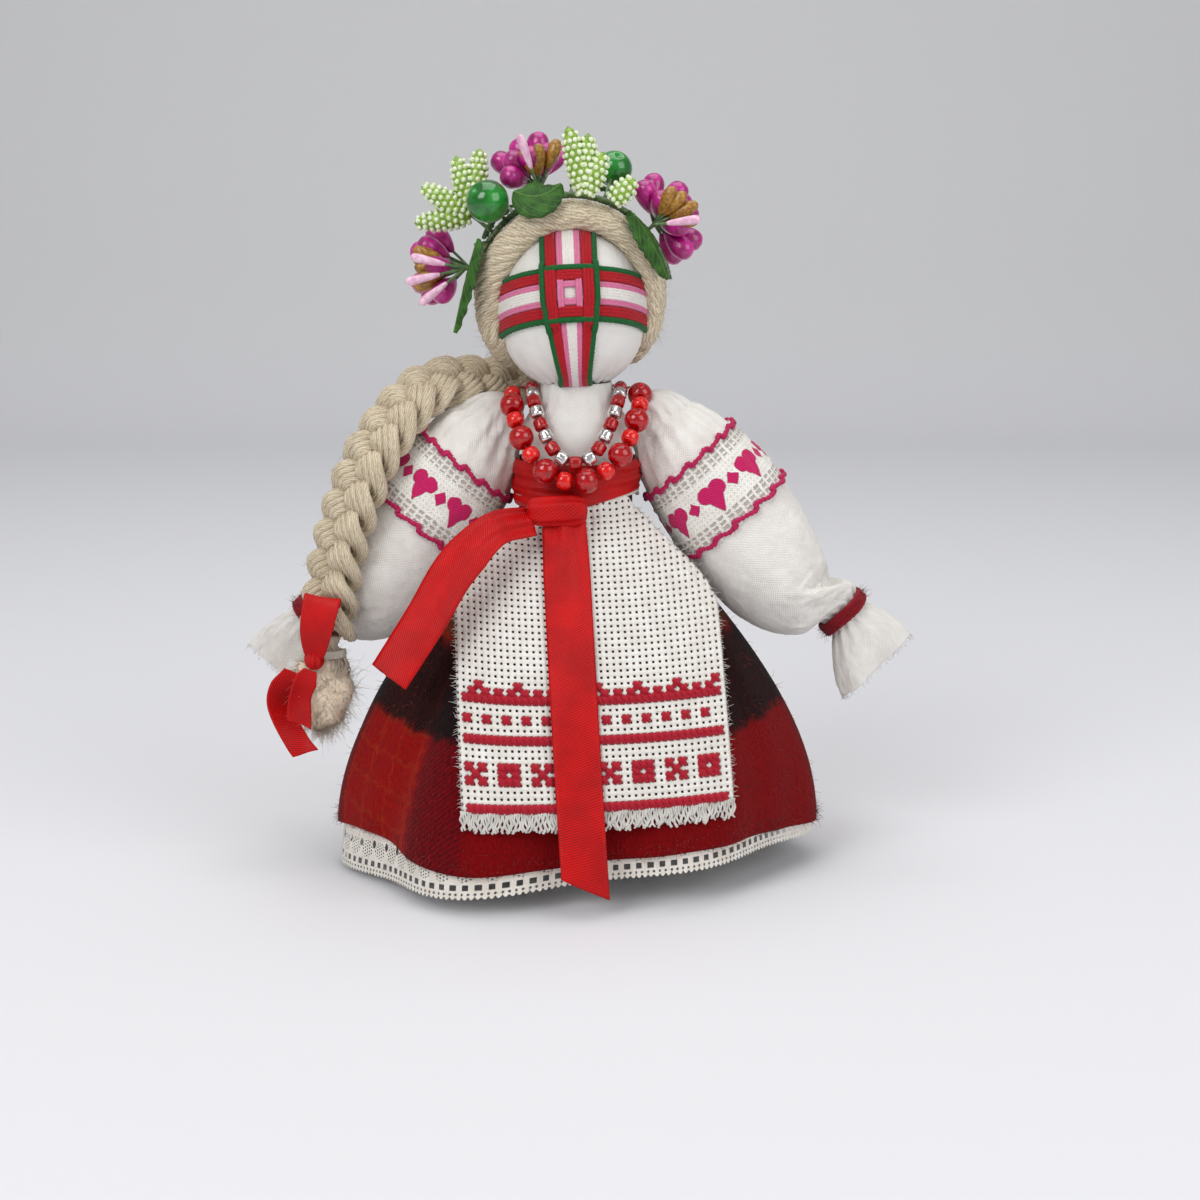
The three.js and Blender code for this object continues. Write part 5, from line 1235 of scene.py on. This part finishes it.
front_grid, front_uv = strand(front_paths, FRONT_YARN, front_outs, 12.0, 2, 0.06, 10)
front = surface("hair_front_roll", on_head(front_grid), front_uv)
place(front, "head", "wool_yarn", cream_wool)
scalp_ways = ball(30, 61, np.radians(-35))
scalp_points = scalp_ways * np.array([21.6, 21.6, 22.4]) + np.array([0, 0, HAIR_CENTRE])
scalp_middle = (scalp_points[:-1, :-1] + scalp_points[1:, 1:]) / 2
scalp_keep = scalp_middle[..., 1] > -5.5 + (HAIR_CENTRE + 22 - scalp_middle[..., 2]) * 0.33
scalp = surface("hair_underlayer", on_head(scalp_points), np.zeros(2), scalp_keep)
thicken(scalp, SCALP_THICK)
place(scalp, "head", "wool_yarn", cream_wool)
nape_path = smooth_path([(-1, 12, 15), (-3, 17.5, 11), (-7, 19, 3), (-14.5, 18.2, -2.4)], 30)
nape_turn = TURN * np.arange(NAPE_YARNS)[:, None] / NAPE_YARNS + np.linspace(0, 2, 30)
nape_paths = nape_path + NAPE_BUNCH * oval(nape_turn, 1.0, 0.8, 0)
nape_grid, nape_uv = strand(nape_paths, NAPE_YARN, (1, 0, 0), 6.5, 2, 0.2, 10)
nape = surface("hair_nape_bunch", on_head(nape_grid), nape_uv)
place(nape, "head", "wool_yarn", cream_wool)
fuzz_loop = luck.integers(0, len(hair_paths), LOOP_FIBRES)
fuzz_step = luck.integers(4, 106, LOOP_FIBRES)
fuzz_yarn = luck.integers(0, FRONT_YARNS, FRONT_FIBRES)
fuzz_spot = luck.integers(25, 195, FRONT_FIBRES)
fuzz_out = np.concatenate([hair_out[fuzz_loop, fuzz_step], front_outs[fuzz_yarn, fuzz_spot]])
fuzz_base = np.concatenate([hair_paths[fuzz_loop, fuzz_step], front_paths[fuzz_yarn, fuzz_spot]])
fuzz_way = fuzz_out + luck.normal(0, 0.9, (HAIR_FIBRES, 3))
hair_fuzz = fibres("hair_fuzz", on_head(fuzz_base + 0.9 * fuzz_out), turned(fuzz_way),
                   luck.uniform(0.8, 3.2, HAIR_FIBRES), 0.045, 42)
place(hair_fuzz, "head", "wool_yarn", cream_wool)


# Plait.
# Three strands of the same wool, twelve yarns in each, crossed over each other from the nape, laid over the
# right sleeve and tied near the end, where the cut yarn spreads into a tuft.

SPINE = [(-11, 20, 118), (-22, 14, 120.2), (-37, 2.8, 120.4), (-48.6, -8.4, 108), (-55.6, -12.8, 92),
         (-60, -13, 76), (-62, -12.5, 62)]
PLAIT_OUT = unit(np.array([-0.45, -0.75, 0.45]))
PLAIT_BEND = ("right_arm", (-11, 20, 118), (-33, 6, 120.5))
PLAIT_SWING = 4.2
PLAIT_OVER = 2.9
PLAIT_PERIODS = 4.5
YARNS = 12
PLAIT_YARN = 0.84
BUNDLE_HALF_WIDTH = 3.0
BUNDLE_HALF_DEPTH = 1.1
STRAY_FIBRES = 320
PLAIT_TIE_THREAD = 0.46
spine = smooth_path(SPINE, 170)
spine_forward = unit(np.gradient(spine, axis=0))
spine_side = unit(np.cross(spine_forward, PLAIT_OUT))
spine_out = np.cross(spine_side, spine_forward)
plait_share = np.linspace(0, 1, 170)
plait_full = np.interp(plait_share, [0, 0.03, 0.09], [0.32, 0.5, 1])[:, None]
plait_luck = np.random.default_rng(51)
for number in range(3):
    phase = TURN * (PLAIT_PERIODS * plait_share + number / 3)
    swing = PLAIT_SWING * np.sin(phase)[:, None] * spine_side
    middle = spine + plait_full * (swing + PLAIT_OVER * np.sin(2 * phase)[:, None] * spine_out)
    lay_forward = unit(np.gradient(middle, axis=0))
    lay_side = unit(np.cross(lay_forward, spine_out))
    lay_out = np.cross(lay_side, lay_forward)
    around_bundle = TURN * np.arange(YARNS)[:, None] / YARNS + 1.6 * plait_share
    bundle = wheel(around_bundle, BUNDLE_HALF_WIDTH * lay_side, BUNDLE_HALF_DEPTH * lay_out)
    yarn_paths = middle + plait_full * bundle
    plaited_grid, plaited_uv = strand(yarn_paths, PLAIT_YARN, lay_out, 9.0, 2, 0.06, 9)
    plaited = surface("plait_yarns_%d" % (number + 1), plaited_grid, plaited_uv)
    place(plaited, "plait", "wool_yarn", cream_wool, "plait_strand_%d" % (number + 1), bend=PLAIT_BEND)
    stray = plait_luck.integers(3, 166, STRAY_FIBRES)
    stray_yarn = plait_luck.integers(0, YARNS, STRAY_FIBRES)
    stray_root = yarn_paths[stray_yarn, stray] + 0.7 * lay_out[stray]
    stray_way = lay_out[stray] + plait_luck.normal(0, 0.8, (STRAY_FIBRES, 3))
    plait_fuzz = fibres("plait_fuzz_%d" % (number + 1), stray_root, stray_way,
                        plait_luck.uniform(0.8, 2.8, STRAY_FIBRES), 0.045, 52 + number)
    place(plait_fuzz, "plait", "wool_yarn", cream_wool, bend=PLAIT_BEND)

TUFT_FIBRES = 420
TUFT_FIBRE = 0.18
TUFT_LONG = 24
LOOSE_FIBRES = 2600
WAD_DOWN = 14.5
WAD_HALF = np.array([7.4, 4.9, 9.4])
tuft_root = np.array([-62.2, -12.5, 60.5])
tuft_way = unit(np.array([-0.1, -0.04, -1]))
tuft_seed = plait_luck.uniform(0, 1, (TUFT_FIBRES, 2))
tuft_turn = TURN * tuft_seed[:, 1:]
tuft_share = np.linspace(0, 1, 14)
tuft_spread = np.interp(tuft_share, [0, 0.17, 0.5, 0.8, 1], [3.6, 2.6, 6.6, 7.0, 5.0])
tuft_arm = np.sqrt(tuft_seed[:, :1]) * tuft_spread
tuft_swirl = tuft_turn + 0.9 * np.sin(5 * tuft_share + TURN * tuft_seed[:, :1])
tuft_long = TUFT_LONG * (1 - 0.25 * tuft_seed[:, :1]) * plait_luck.uniform(0.88, 1.0, (TUFT_FIBRES, 1))
tuft_down = tuft_root + (tuft_share * tuft_long)[..., None] * tuft_way
tuft_paths = tuft_down + oval(tuft_swirl, tuft_arm, 0.62 * tuft_arm, 0)
tuft = surface("plait_tuft_fibres", *strand(tuft_paths, TUFT_FIBRE, (0.3, -1, 0), 3.0, 2, 0.2, 5))
tuft_wool = wool("tuft_wool", tint(252, 238, 216), tint(240, 218, 190))
place(tuft, "plait", "wool_yarn", tuft_wool, "plait_tuft")
puff_ways = ball(60, 91)
puff_lumps = 1 + 0.09 * np.sin(6 * puff_ways[..., 0] + 3) * np.sin(5 * puff_ways[..., 2] + 1)
puff_points = tuft_root + WAD_DOWN * tuft_way + puff_ways * puff_lumps[..., None] * WAD_HALF
puff = surface("plait_tuft_wad", puff_points, np.zeros(2))
place(puff, "plait", "wool_yarn", tuft_wool)
puff_row = plait_luck.integers(2, 58, LOOSE_FIBRES)
puff_column = plait_luck.integers(0, 90, LOOSE_FIBRES)
puff_out = puff_ways[puff_row, puff_column] + plait_luck.normal(0, 1.3, (LOOSE_FIBRES, 3))
puff_out += 1.2 * tuft_way
tuft_fuzz = fibres("plait_tuft_fuzz", puff_points[puff_row, puff_column], puff_out,
                   plait_luck.uniform(1.0, 4.6, LOOSE_FIBRES), 0.055, 55)
place(tuft_fuzz, "plait", "wool_yarn", tuft_wool)

tie_low, tie_high = span("plait_tie")
tie_middle = (tie_low + tie_high) / 2
tie_half = (tie_high - tie_low) / 2 - TIE_ROOM
plait_turn = np.linspace(0, 3 * TURN, 160)
plait_tie_path = tie_middle + oval(plait_turn, tie_half[0], tie_half[1], np.linspace(-0.9, 0.9, 160))
plait_tie = surface("plait_binding", *strand(plait_tie_path, PLAIT_TIE_THREAD, (0, 0, 1), 2.4))
place(plait_tie, "plait", "binding_thread", binding_thread, "plait_tie")


# Bow on the plait.
# Narrow red satin ribbon tied once round the plait's end, with one loop standing up and two tails hanging.

BOW_WIDTH = 6.0
BOW_LOOP_WIDTH = 9.0
BOW_KNOT_HALF = np.array([2.3, 2.3, 2.6])
bow_knot = np.array([tie_middle[0] - 2.2, tie_middle[1] - 6.4, tie_middle[2]])
bow_share = np.linspace(0, 1, 70)
loop_knots = [(0.2, -1.2, 1.2), (1.2, -4, 8), (2.4, -3.4, 14), (2.8, -1.6, 16), (2.4, -0.4, 14),
              (1, -0.1, 7.5), (0.2, 0.1, 1.2)]
loop_path = bow_knot + smooth_path(loop_knots, 70)
loop_face = unit(loop_path - (loop_path.min(axis=0) + loop_path.max(axis=0)) / 2)
loop_width = BOW_LOOP_WIDTH * (0.5 + 0.5 * np.sin(np.pi * bow_share) ** 0.7)
bow_loop = surface("bow_loop_ribbon", *ribbon(loop_path, loop_face, loop_width, 0.0, 0.3))
thicken(bow_loop, RIBBON, 0)
place(bow_loop, "plait", "satin_ribbon", red_satin, "bow_loop")
BOW_TAILS = {
    "bow_tail_front": [(-0.9, -0.8, -2.5), (-3.5, -2.2, -9), (-3.8, -2.4, -17)],
    "bow_tail_back": [(-6, 0.8, -3), (-9.5, 0.6, -11), (-5, 0.2, -21), (-2, 0, -25)],
}
for part, knots in BOW_TAILS.items():
    bow_path = bow_knot + smooth_path(knots, 70)
    bow_size = BOW_WIDTH * (0.55 + 0.45 * np.clip(bow_share / 0.2, 0, 1))
    bow_face = spread(0.2 + 0.5 * np.sin(4 * bow_share), -1 + 0 * bow_share, 0.25 + 0 * bow_share)
    bow = surface(part + "_ribbon", *ribbon(bow_path, bow_face, bow_size, 2.5, 0.25))
    thicken(bow, RIBBON, 0)
    place(bow, "plait", "satin_ribbon", red_satin, part)
knot_ways = ball(22, 41)
bow_pleat = 1 + 0.1 * np.cos(8 * np.linspace(0, TURN, 41)) * np.sqrt(1 - knot_ways[..., 2] ** 2)
bow_ball = surface("bow_tied_knot", bow_knot + knot_ways * bow_pleat[..., None] * BOW_KNOT_HALF,
                   spread(np.linspace(0, 12, 41), np.linspace(0, 7, 22)[:, None]))
place(bow_ball, "plait", "satin_ribbon", red_satin)


# Beads.
# Two strings round the neck: an outer one of glass and smaller opaque red beads by turns, and an inner one of
# short glass tubes, red and silver-lined by turns. Each bead is pierced for its string.

OUTER_HALF = [(1, 13.2, 117.2), (9, 10.6, 119), (15, 3, 120.3), (15.6, -7.6, 116.4), (12.2, -15.6, 108.2),
              (6.2, -19.3, 101.8), (0, -20.05, 100.2)]
INNER_HALF = [(0.8, 9.5, 119.4), (7.8, 8.6, 120.2), (10.9, 0, 121.2), (10.2, -8.8, 118), (8, -14, 112),
              (4.4, -17.6, 106.4), (0, -18.6, 104.5)]
string_made = thread("bead_string", tint(188, 30, 30), tint(120, 10, 12), 1.2)


def string_path(half, count):
    """A string's route round the neck, from one side of the back to the other by way of the front."""
    half = np.array(half, float)
    return smooth_path(np.vstack([half * (-1, 1, 1), half[-2::-1]]), count)


def beads(name, path, shares, radius, length, roundness):
    """Pierced beads on a string: outlines r (1 - |t|^roundness)^0.5 turned about the string, with a hole."""
    forward = unit(np.gradient(path, axis=0))
    spot = resample(path, shares)
    way = unit(between(shares, np.linspace(0, 1, len(path)), forward))
    side = unit(np.cross(way, (0.1, -1, 0.3)))
    other = np.cross(side, way)
    t = np.concatenate([[-0.86], np.linspace(-0.98, 0.98, 13), [0.86]])
    girth = (1 - np.abs(t) ** roundness) ** 0.5
    girth[[0, -1]] = 0.16
    turn = np.linspace(0, TURN, 25)
    spoke = girth[:, None, None] * wheel(turn, side[:, None, None], other[:, None, None])
    grid = spot[:, None, None] + radius * spoke + (length / 2) * t[:, None, None] * way[:, None, None]
    return surface(name, grid, spread(turn, t[:, None]))


def glass(name, deep, bright, clear, rough, lining=0.0):
    """Coloured glass with random patches of a brighter colour that paint both faint swirls and a glow of
    light gathered inside it, and smears on its surface. Lining is how much of it is silvered inside."""
    made, shade = material(name, {
        "Transmission Weight": clear, "IOR": 1.45, "Metallic": lining,
        "Coat Weight": 0.5, "Coat Roughness": 0.01, "Subsurface Weight": 0.2 * (1 - lining),
        "Subsurface Radius": (1.0, 0.1, 0.1), "Subsurface Scale": 0.003})
    # Painted glow: random brighter patches stand in for light gathered in the glass, as well as its swirls.
    swirl_and_glow = shade.grain(1.4).rise(0.3, 0.7)
    smear = shade.grain(0.9) * 0.05 + rough
    return feed(made, {"Base Color": swirl_and_glow.mix(deep, bright), "Roughness": smear})


STRING = 0.3
STRING_OUT = (0, -0.4, 1)
OUTER_ROOM = np.tile([4.5, 6.3], 7)
TUBES = 17
TUBE_ROOM = 3.55
TUBE = (1.75, 3.3, 6.0)
outer_path = string_path(OUTER_HALF, 240)
outer_share = np.cumsum(OUTER_ROOM) - OUTER_ROOM / 2
outer_share = 0.5 + (outer_share - np.mean(outer_share)) / along(outer_path)[-1]
large_beads = beads("large_glass_beads", outer_path, outer_share[1::2], 3.1, 5.9, 2.2)
place(large_beads, "torso", "red_glass", glass("cherry_glass", tint(176, 0, 8), tint(216, 0, 14), 0.35, 0.0),
      "beads_outer")
small_beads = beads("small_red_beads", outer_path, outer_share[::2], 2.2, 4.0, 3.0)
place(small_beads, "torso", "red_glass", glass("opaque_red", tint(204, 8, 6), tint(228, 20, 10), 0.0, 0.05))
outer_string = surface("outer_string", *strand(outer_path, STRING, STRING_OUT, 2.0))
place(outer_string, "torso", "binding_thread", string_made)
inner_path = string_path(INNER_HALF, 240)
inner_share = 0.5 + (np.arange(TUBES) - TUBES // 2) * TUBE_ROOM / along(inner_path)[-1]
red_seeds = beads("red_glass_tubes", inner_path, inner_share[::2], *TUBE)
place(red_seeds, "torso", "seed_glass", glass("clear_red", tint(170, 0, 6), tint(212, 2, 10), 0.4, 0.0),
      "beads_inner")
clear_seeds = beads("silver_lined_tubes", inner_path, inner_share[1::2], *TUBE)
place(clear_seeds, "torso", "seed_glass",
      glass("silver_lined", tint(190, 186, 184), tint(244, 242, 240), 0.0, 0.08, 0.9))
inner_string = surface("inner_string", *strand(inner_path, STRING, STRING_OUT, 2.0))
place(inner_string, "torso", "binding_thread", string_made)


# Wreath.
# A green wire bent over the hair, with paper and bead ornaments wired to it: cloth leaves, pearl berries,
# sprigs rolled in white grains, and bunches of glossy stamens in magenta, gold and pale pink.

WIRE_RADIUS = 24.5
WIRE_HEIGHT = 25.4
WIRE_DEPTH = 3.0
WIRE_CLEAR = 1.1
WIRE = 0.8
STALK = 0.5
STEM = 0.38
LEAF_CLOTH = 0.35
LEAF_COLUMNS = 17


def wreath_point(degrees, lift, depth):
    """A point over the hair at an angle round the wreath's arch, lifted off the wire, set forward or back."""
    angle = np.radians(degrees)
    level = HAIR_CENTRE + (WIRE_HEIGHT + lift) * np.sin(angle)
    return spread((WIRE_RADIUS + lift) * np.cos(angle), depth, level)


def planar(degrees, lean):
    """A direction in the wreath's arch, leant forwards (negative) or back."""
    angle, tilt = np.radians(degrees), np.radians(lean)
    return spread(np.cos(angle) * np.cos(tilt), np.sin(tilt), np.sin(angle) * np.cos(tilt))


def glossy(name, light, dark, rough, spot):
    """A lacquered surface with uneven colour and small dimples."""
    made, shade = material(name, {"Coat Weight": 0.6, "Coat Roughness": 0.08, "Specular IOR Level": 0.5})
    tone = shade.grain(spot).rise(0.3, 0.7)
    return feed(made, {
        "Base Color": tone.mix(dark, light),
        "Roughness": shade.grain(spot * 0.6) * 0.25 + rough,
        "Normal": (shade.grain(spot * 0.5) * 0.12).bump()})


stem_green = glossy("stem_green", tint(86, 120, 60), tint(46, 78, 34), 0.5, 1.5)
wire_path = wreath_point(np.linspace(8, 172, 120), 0.0, WIRE_DEPTH)
wire_out = unit(wire_path - np.array([0, WIRE_DEPTH, HAIR_CENTRE]))
wire_grid, wire_uv = strand(wire_path, WIRE, wire_out, 3.0, 3, 0.2, 10)
wire = surface("wreath_arch", on_head(wire_grid), wire_uv)
place(wire, "head", "leaf_green", stem_green, "wreath_wire")

STALKS = []
LEAVES = {
    "left": ([(144, 2.4, -8.5), (164, 1.2, -10), (191, 5, -9)], planar(180, -20), 7.0),
    "top_left": ([(122, 2.2, 14), (133, 4.5, 18), (146, 2.4, 20)], planar(135, 0), 9.0),
    "top": ([(115, 4.5, -10), (105, -1, -12.5), (92, 3, -10)], planar(105, -45), 12.0),
    "top_right": ([(88, 2.4, 16), (76, 4.5, 18.5), (64, 2.6, 20)], planar(76, 0), 9.0),
    "right": ([(53, 1, -8), (33, 0, -10.5), (11, -0.6, -9.5)], planar(32, -25), 9.5),
}
leaf_made, leaf_shade = material("leaf_cloth", {"Roughness": 0.6, "Specular IOR Level": 0.3})
leaf_across, leaf_down = leaf_shade.uv()
leaf_vein = (leaf_down - leaf_across.size() * 1.2).saw(2.2).size().rise(0.28, 0.1)
leaf_rib = leaf_across.size().rise(0.35, 0.12)
leaf_mark = (leaf_vein * 0.6).most(leaf_rib)
leaf_tone = leaf_shade.grain(2.5).rise(0.25, 0.75).mix(tint(24, 60, 16), tint(56, 104, 32))
leaf_made = feed(leaf_made, {
    "Base Color": leaf_mark.mix(leaf_tone, tint(76, 122, 44)),
    "Normal": (leaf_mark * 0.25 + leaf_shade.grain(0.5) * 0.08).bump()})
leaf_share = np.linspace(0, 1, 40)
leaf_weights = spread((1 - leaf_share) ** 2, 2 * leaf_share * (1 - leaf_share), leaf_share**2)
leaf_edge = np.abs(np.linspace(-1, 1, LEAF_COLUMNS)) ** 3
leaf_crimp = 0.25 * np.cos(TURN * leaf_share * 7)[:, None] * leaf_edge
for where, (stations, face, width) in LEAVES.items():
    leaf_path = leaf_weights @ [wreath_point(*station) for station in stations]
    STALKS.append((stations[0][0], leaf_path[3]))
    leaf_size = width * np.clip(np.sin(np.pi * leaf_share**0.85), 0.02, 1) ** 0.75
    leaf_grid, leaf_uv = ribbon(leaf_path, face, leaf_size, 0.0, -1.0, LEAF_COLUMNS)
    leaf_grid += leaf_crimp[..., None] * face
    leaf = surface("leaf_blade_" + where, on_head(leaf_grid), leaf_uv)
    thicken(leaf, LEAF_CLOTH, 0)
    place(leaf, "head", "leaf_green", leaf_made, "leaf_" + where)

BERRIES = {"left": (128, -5.0, 5.2, 0.0), "right": (68, 13.0, 4.5, 2.5)}
berry_made = glossy("berry_pearl", tint(24, 138, 40), tint(4, 90, 18), 0.05, 4.0)
berry_ways = ball(40, 57)
berry_form = berry_ways * (1 - 0.16 * np.exp(-((1 - berry_ways[..., 2:]) / 0.02)))
for where, (degrees, depth, radius, lift) in BERRIES.items():
    middle = wreath_point(degrees, WIRE_CLEAR + lift + radius, depth)
    STALKS.append((degrees, middle))
    axis = planar(degrees, -35)
    side_way = unit(np.cross(axis, (0, 1, 0.2)))
    basis = np.stack([side_way, np.cross(axis, side_way), axis])
    berry = surface("berry_pearl_" + where, on_head(middle + radius * berry_form @ basis), np.zeros(2))
    place(berry, "head", "berry_green", berry_made, "berry_" + where)

SPRIGS = {
    "left": (138, 5.9, 3.0, [(185, 14.5, 0), (148, 14.3, 0), (102, 15, 4), (80, 16.5, 8)]),
    "top": (79, -1.0, -10.0, [(101, 17, 4), (84, 15, 8), (63, 11.5, 4)]),
    "right": (64, -0.7, -9.0, [(41, 8, 0)]),
}
SPRIG_RADIUS = 2.5
GRAIN = 0.62
GRAIN_PITCH = 1.55
GRAINS_ROUND = 9
sprig_made = glossy("sprig_core", tint(152, 188, 54), tint(98, 140, 26), 0.55, 1.2)
grain_made = glossy("sprig_grains", tint(240, 246, 222), tint(206, 222, 166), 0.45, 1.0)
grain_ways = ball(7, 9)
for where, (degrees, lift, depth, fingers) in SPRIGS.items():
    root = wreath_point(degrees, WIRE_CLEAR + lift, depth)
    STALKS.append((degrees, root))
    cores = []
    grains = []
    for finger_degrees, finger_length, lean in fingers:
        way = planar(finger_degrees, lean)
        side_way = unit(np.cross(way, (0, 1, 0.1)))
        other_way = np.cross(side_way, way)
        rise = np.linspace(0, 1, 18)
        girth = SPRIG_RADIUS * np.sin(np.pi * rise**0.8) ** 0.45
        spokes = wheel(np.linspace(0, TURN, 19), side_way, other_way)
        cores.append(root + finger_length * rise[:, None, None] * way + girth[:, None, None] * spokes)
        ring, seat = np.mgrid[0:int(finger_length / GRAIN_PITCH), 0:GRAINS_ROUND]
        grain_rise = (ring + 0.6) / (finger_length / GRAIN_PITCH)
        grain_turn = TURN * (seat + 0.5 * (ring % 2)) / GRAINS_ROUND
        grain_arm = SPRIG_RADIUS * np.sin(np.pi * grain_rise**0.8) ** 0.45 + 0.1
        fits = (seat % 2 == 0) | (grain_arm > 0.7 * SPRIG_RADIUS)
        grain_out = grain_arm[..., None] * wheel(grain_turn, side_way, other_way)
        grains.append((root + finger_length * grain_rise[..., None] * way + grain_out)[fits])
    core = surface("sprig_core_" + where, on_head(np.array(cores)), np.zeros(2))
    place(core, "head", "sprig_foam", sprig_made, "sprig_" + where)
    spots = np.concatenate(grains)[:, None, None]
    beading = surface("sprig_grains_" + where, on_head(spots + GRAIN * grain_ways), np.zeros(2))
    place(beading, "head", "sprig_foam", grain_made)

BUNCHES = {
    "left": (161, 6.0, {"pink": (136, 224, 8), "gold": (158, 202, 5), "pale": (168, 216, 3)}),
    "top": (104, 4.8, {"pink": (60, 155, 8), "gold": (64, 106, 3), "pale": (104, 104, 1)}),
    "right": (38, 3.8, {"pink": (-60, 104, 10), "gold": (4, 60, 4), "pale": (10, 10, 1)}),
}
STAMENS = {
    "pink": (9.0, (24, -22, 5, -48), 2.8, 9.5, 0.7, 2.6, "pink_petal",
             glossy("magenta_bud", tint(204, 28, 148), tint(146, 4, 98), 0.2, 2.5)),
    "gold": (1.8, (0, -6), 1.7, 8.0, 0.5, 3, "gold_grain",
             glossy("gold_bud", tint(184, 132, 28), tint(128, 84, 10), 0.4, 0.8)),
    "pale": (-4.0, (0, -8), 1.15, 9.0, 0.35, 10, "pale_petal",
             glossy("pale_bud", tint(242, 204, 222), tint(216, 158, 190), 0.35, 1.6)),
}
for where, (degrees, reach, kinds) in BUNCHES.items():
    for kind, (first, last, count) in kinds.items():
        depth, lean, radius, length, belly, tip, slot, bud_made = STAMENS[kind]
        luck = np.random.default_rng(len(where) * 10 + len(kind) + count)
        root = wreath_point(degrees, WIRE_CLEAR + 1.5, depth)
        leans = np.resize(lean, count) + luck.normal(0, 5, count)
        ways = planar(np.linspace(first, last, count) + luck.normal(0, 2, count), leans)
        roots = root + ways * (reach + luck.uniform(-1.8, 0.2, (count, 1)))
        sides = unit(np.cross(ways, (0.1, 1, 0.2)))
        others = np.cross(sides, ways)
        rise = np.linspace(0, 1, 22)
        outline = rise**belly * np.sqrt(1 - rise**tip)
        outline /= outline.max()
        turn = np.linspace(0, TURN, 15)
        crease = 1 + 0.03 * np.cos(3 * turn)
        spokes = radius * crease[:, None] * wheel(turn, sides[:, None], others[:, None])
        buds = roots[:, None, None] + length * rise[:, None, None] * ways[:, None, None]
        buds = buds + outline[:, None, None] * spokes[:, None]
        bud = surface("buds_%s_%s" % (kind, where), on_head(buds), spread(turn, rise[:, None] * length))
        place(bud, "head", slot, bud_made, "stamens_%s_%s" % (kind, where))
        share = np.linspace(0, 1, 6)[:, None]
        bound = wreath_point(degrees, 0.0, WIRE_DEPTH)
        stem_out = root + (roots[:, None] + 0.6 * ways[:, None] - root) * share
        stem_in = np.repeat([bound + (root - bound) * share[:-1]], count, axis=0)
        stem_paths = np.concatenate([stem_in, stem_out], axis=1)
        stem_grid, stem_uv = strand(stem_paths, STEM, (0.1, 1, 0.2), 4.0, 2, 0.0, 6)
        stems = surface("bud_stems_%s_%s" % (kind, where), on_head(stem_grid), stem_uv)
        place(stems, "head", slot, stem_green)

stalk_from = np.array([wreath_point(degrees, 0.0, WIRE_DEPTH) for degrees, base in STALKS])
stalk_to = np.array([base for degrees, base in STALKS])
stalk_paths = stalk_from[:, None] + (stalk_to - stalk_from)[:, None] * np.linspace(0, 1, 6)[:, None]
stalk_grid, stalk_uv = strand(stalk_paths, STALK, (0.1, 0.2, 1), 4.0, 2, 0.1, 8)
stalks = surface("wreath_stalks", on_head(stalk_grid), stalk_uv)
place(stalks, "head", "leaf_green", stem_green)


# Studio.
# A pale seamless sweep under and behind the doll, lit by broad soft lights from both sides and above, seen
# from slightly above eye level.

SWEEP_BACK = 0.8
SWEEP_BEND = 0.3
sweep_turn = np.linspace(0, TURN / 4, 16)
sweep_line = np.concatenate([
    [(-3.0, 0.0), (-0.3, 0.0)],
    spread(SWEEP_BACK + SWEEP_BEND * np.sin(sweep_turn), SWEEP_BEND * (1 - np.cos(sweep_turn))),
    [(SWEEP_BACK + SWEEP_BEND, 2.0)]]) / MM
sweep_x = np.array([-3.0, -0.4, 0.4, 3.0]) / MM
sweep_points = spread(sweep_x, sweep_line[:, :1], sweep_line[:, 1:])
sweep = surface("studio_sweep", sweep_points, np.zeros(2))
sweep_made, sweep_shade = material("studio_paper", {"Roughness": 0.95, "Specular IOR Level": 0.1})
sweep_spot = sweep_shade.node("TexCoord", {}, {}, "Object")
sweep_level = sweep_spot.node("SeparateXYZ", {}, {0: sweep_spot}, 2)
# Painted shade: the backdrop above the floor is a little darker and greyer than the floor.
sweep_tone = sweep_level.rise(0.0, 0.12).mix(tint(228, 228, 231), tint(224, 224, 224))
sweep.data.materials.append(feed(sweep_made, {"Base Color": sweep_tone}))


def soft_light(name, spot, aim, size, power):
    """A square soft box at a spot, turned towards its aim."""
    lamp = bpy.data.lights.new(name, "AREA")
    lamp.size = size
    lamp.energy = power
    box = bpy.data.objects.new(name, lamp)
    box.location = spot
    box.rotation_euler = (Vector(aim) - Vector(spot)).to_track_quat("-Z", "Y").to_euler()
    bpy.context.scene.collection.objects.link(box)


soft_light("key_light", (-0.55, -0.75, 0.75), (0, 0, 0.09), 0.6, 5.4)
soft_light("fill_light", (0.7, -0.6, 0.55), (0, 0, 0.09), 0.7, 3.5)
soft_light("top_light", (0.0, 0.05, 0.95), (0, 0, 0.05), 0.8, 3.9)
air = bpy.data.worlds.new("studio_air")
air.use_nodes = True
air.node_tree.nodes["Background"].inputs["Color"].default_value = (0.82, 0.83, 0.85, 1)
air.node_tree.nodes["Background"].inputs["Strength"].default_value = 0.42
bpy.context.scene.world = air
bpy.context.scene.view_settings.view_transform = "Standard"

VIEW_AIM = Vector((0.0059, 0.0, 0.0667))
VIEW_DISTANCE = 0.52
VIEW_RISE = np.radians(12)
camera = bpy.data.objects.new("camera", bpy.data.cameras.new("camera"))
camera.data.lens = 61.2
camera.data.sensor_width = 36.0
camera.data.clip_start = 0.01
camera.location = VIEW_AIM + VIEW_DISTANCE * Vector((0, -np.cos(VIEW_RISE), np.sin(VIEW_RISE)))
camera.rotation_euler = (VIEW_AIM - camera.location).to_track_quat("-Z", "Y").to_euler()
bpy.context.scene.collection.objects.link(camera)
bpy.context.scene.camera = camera
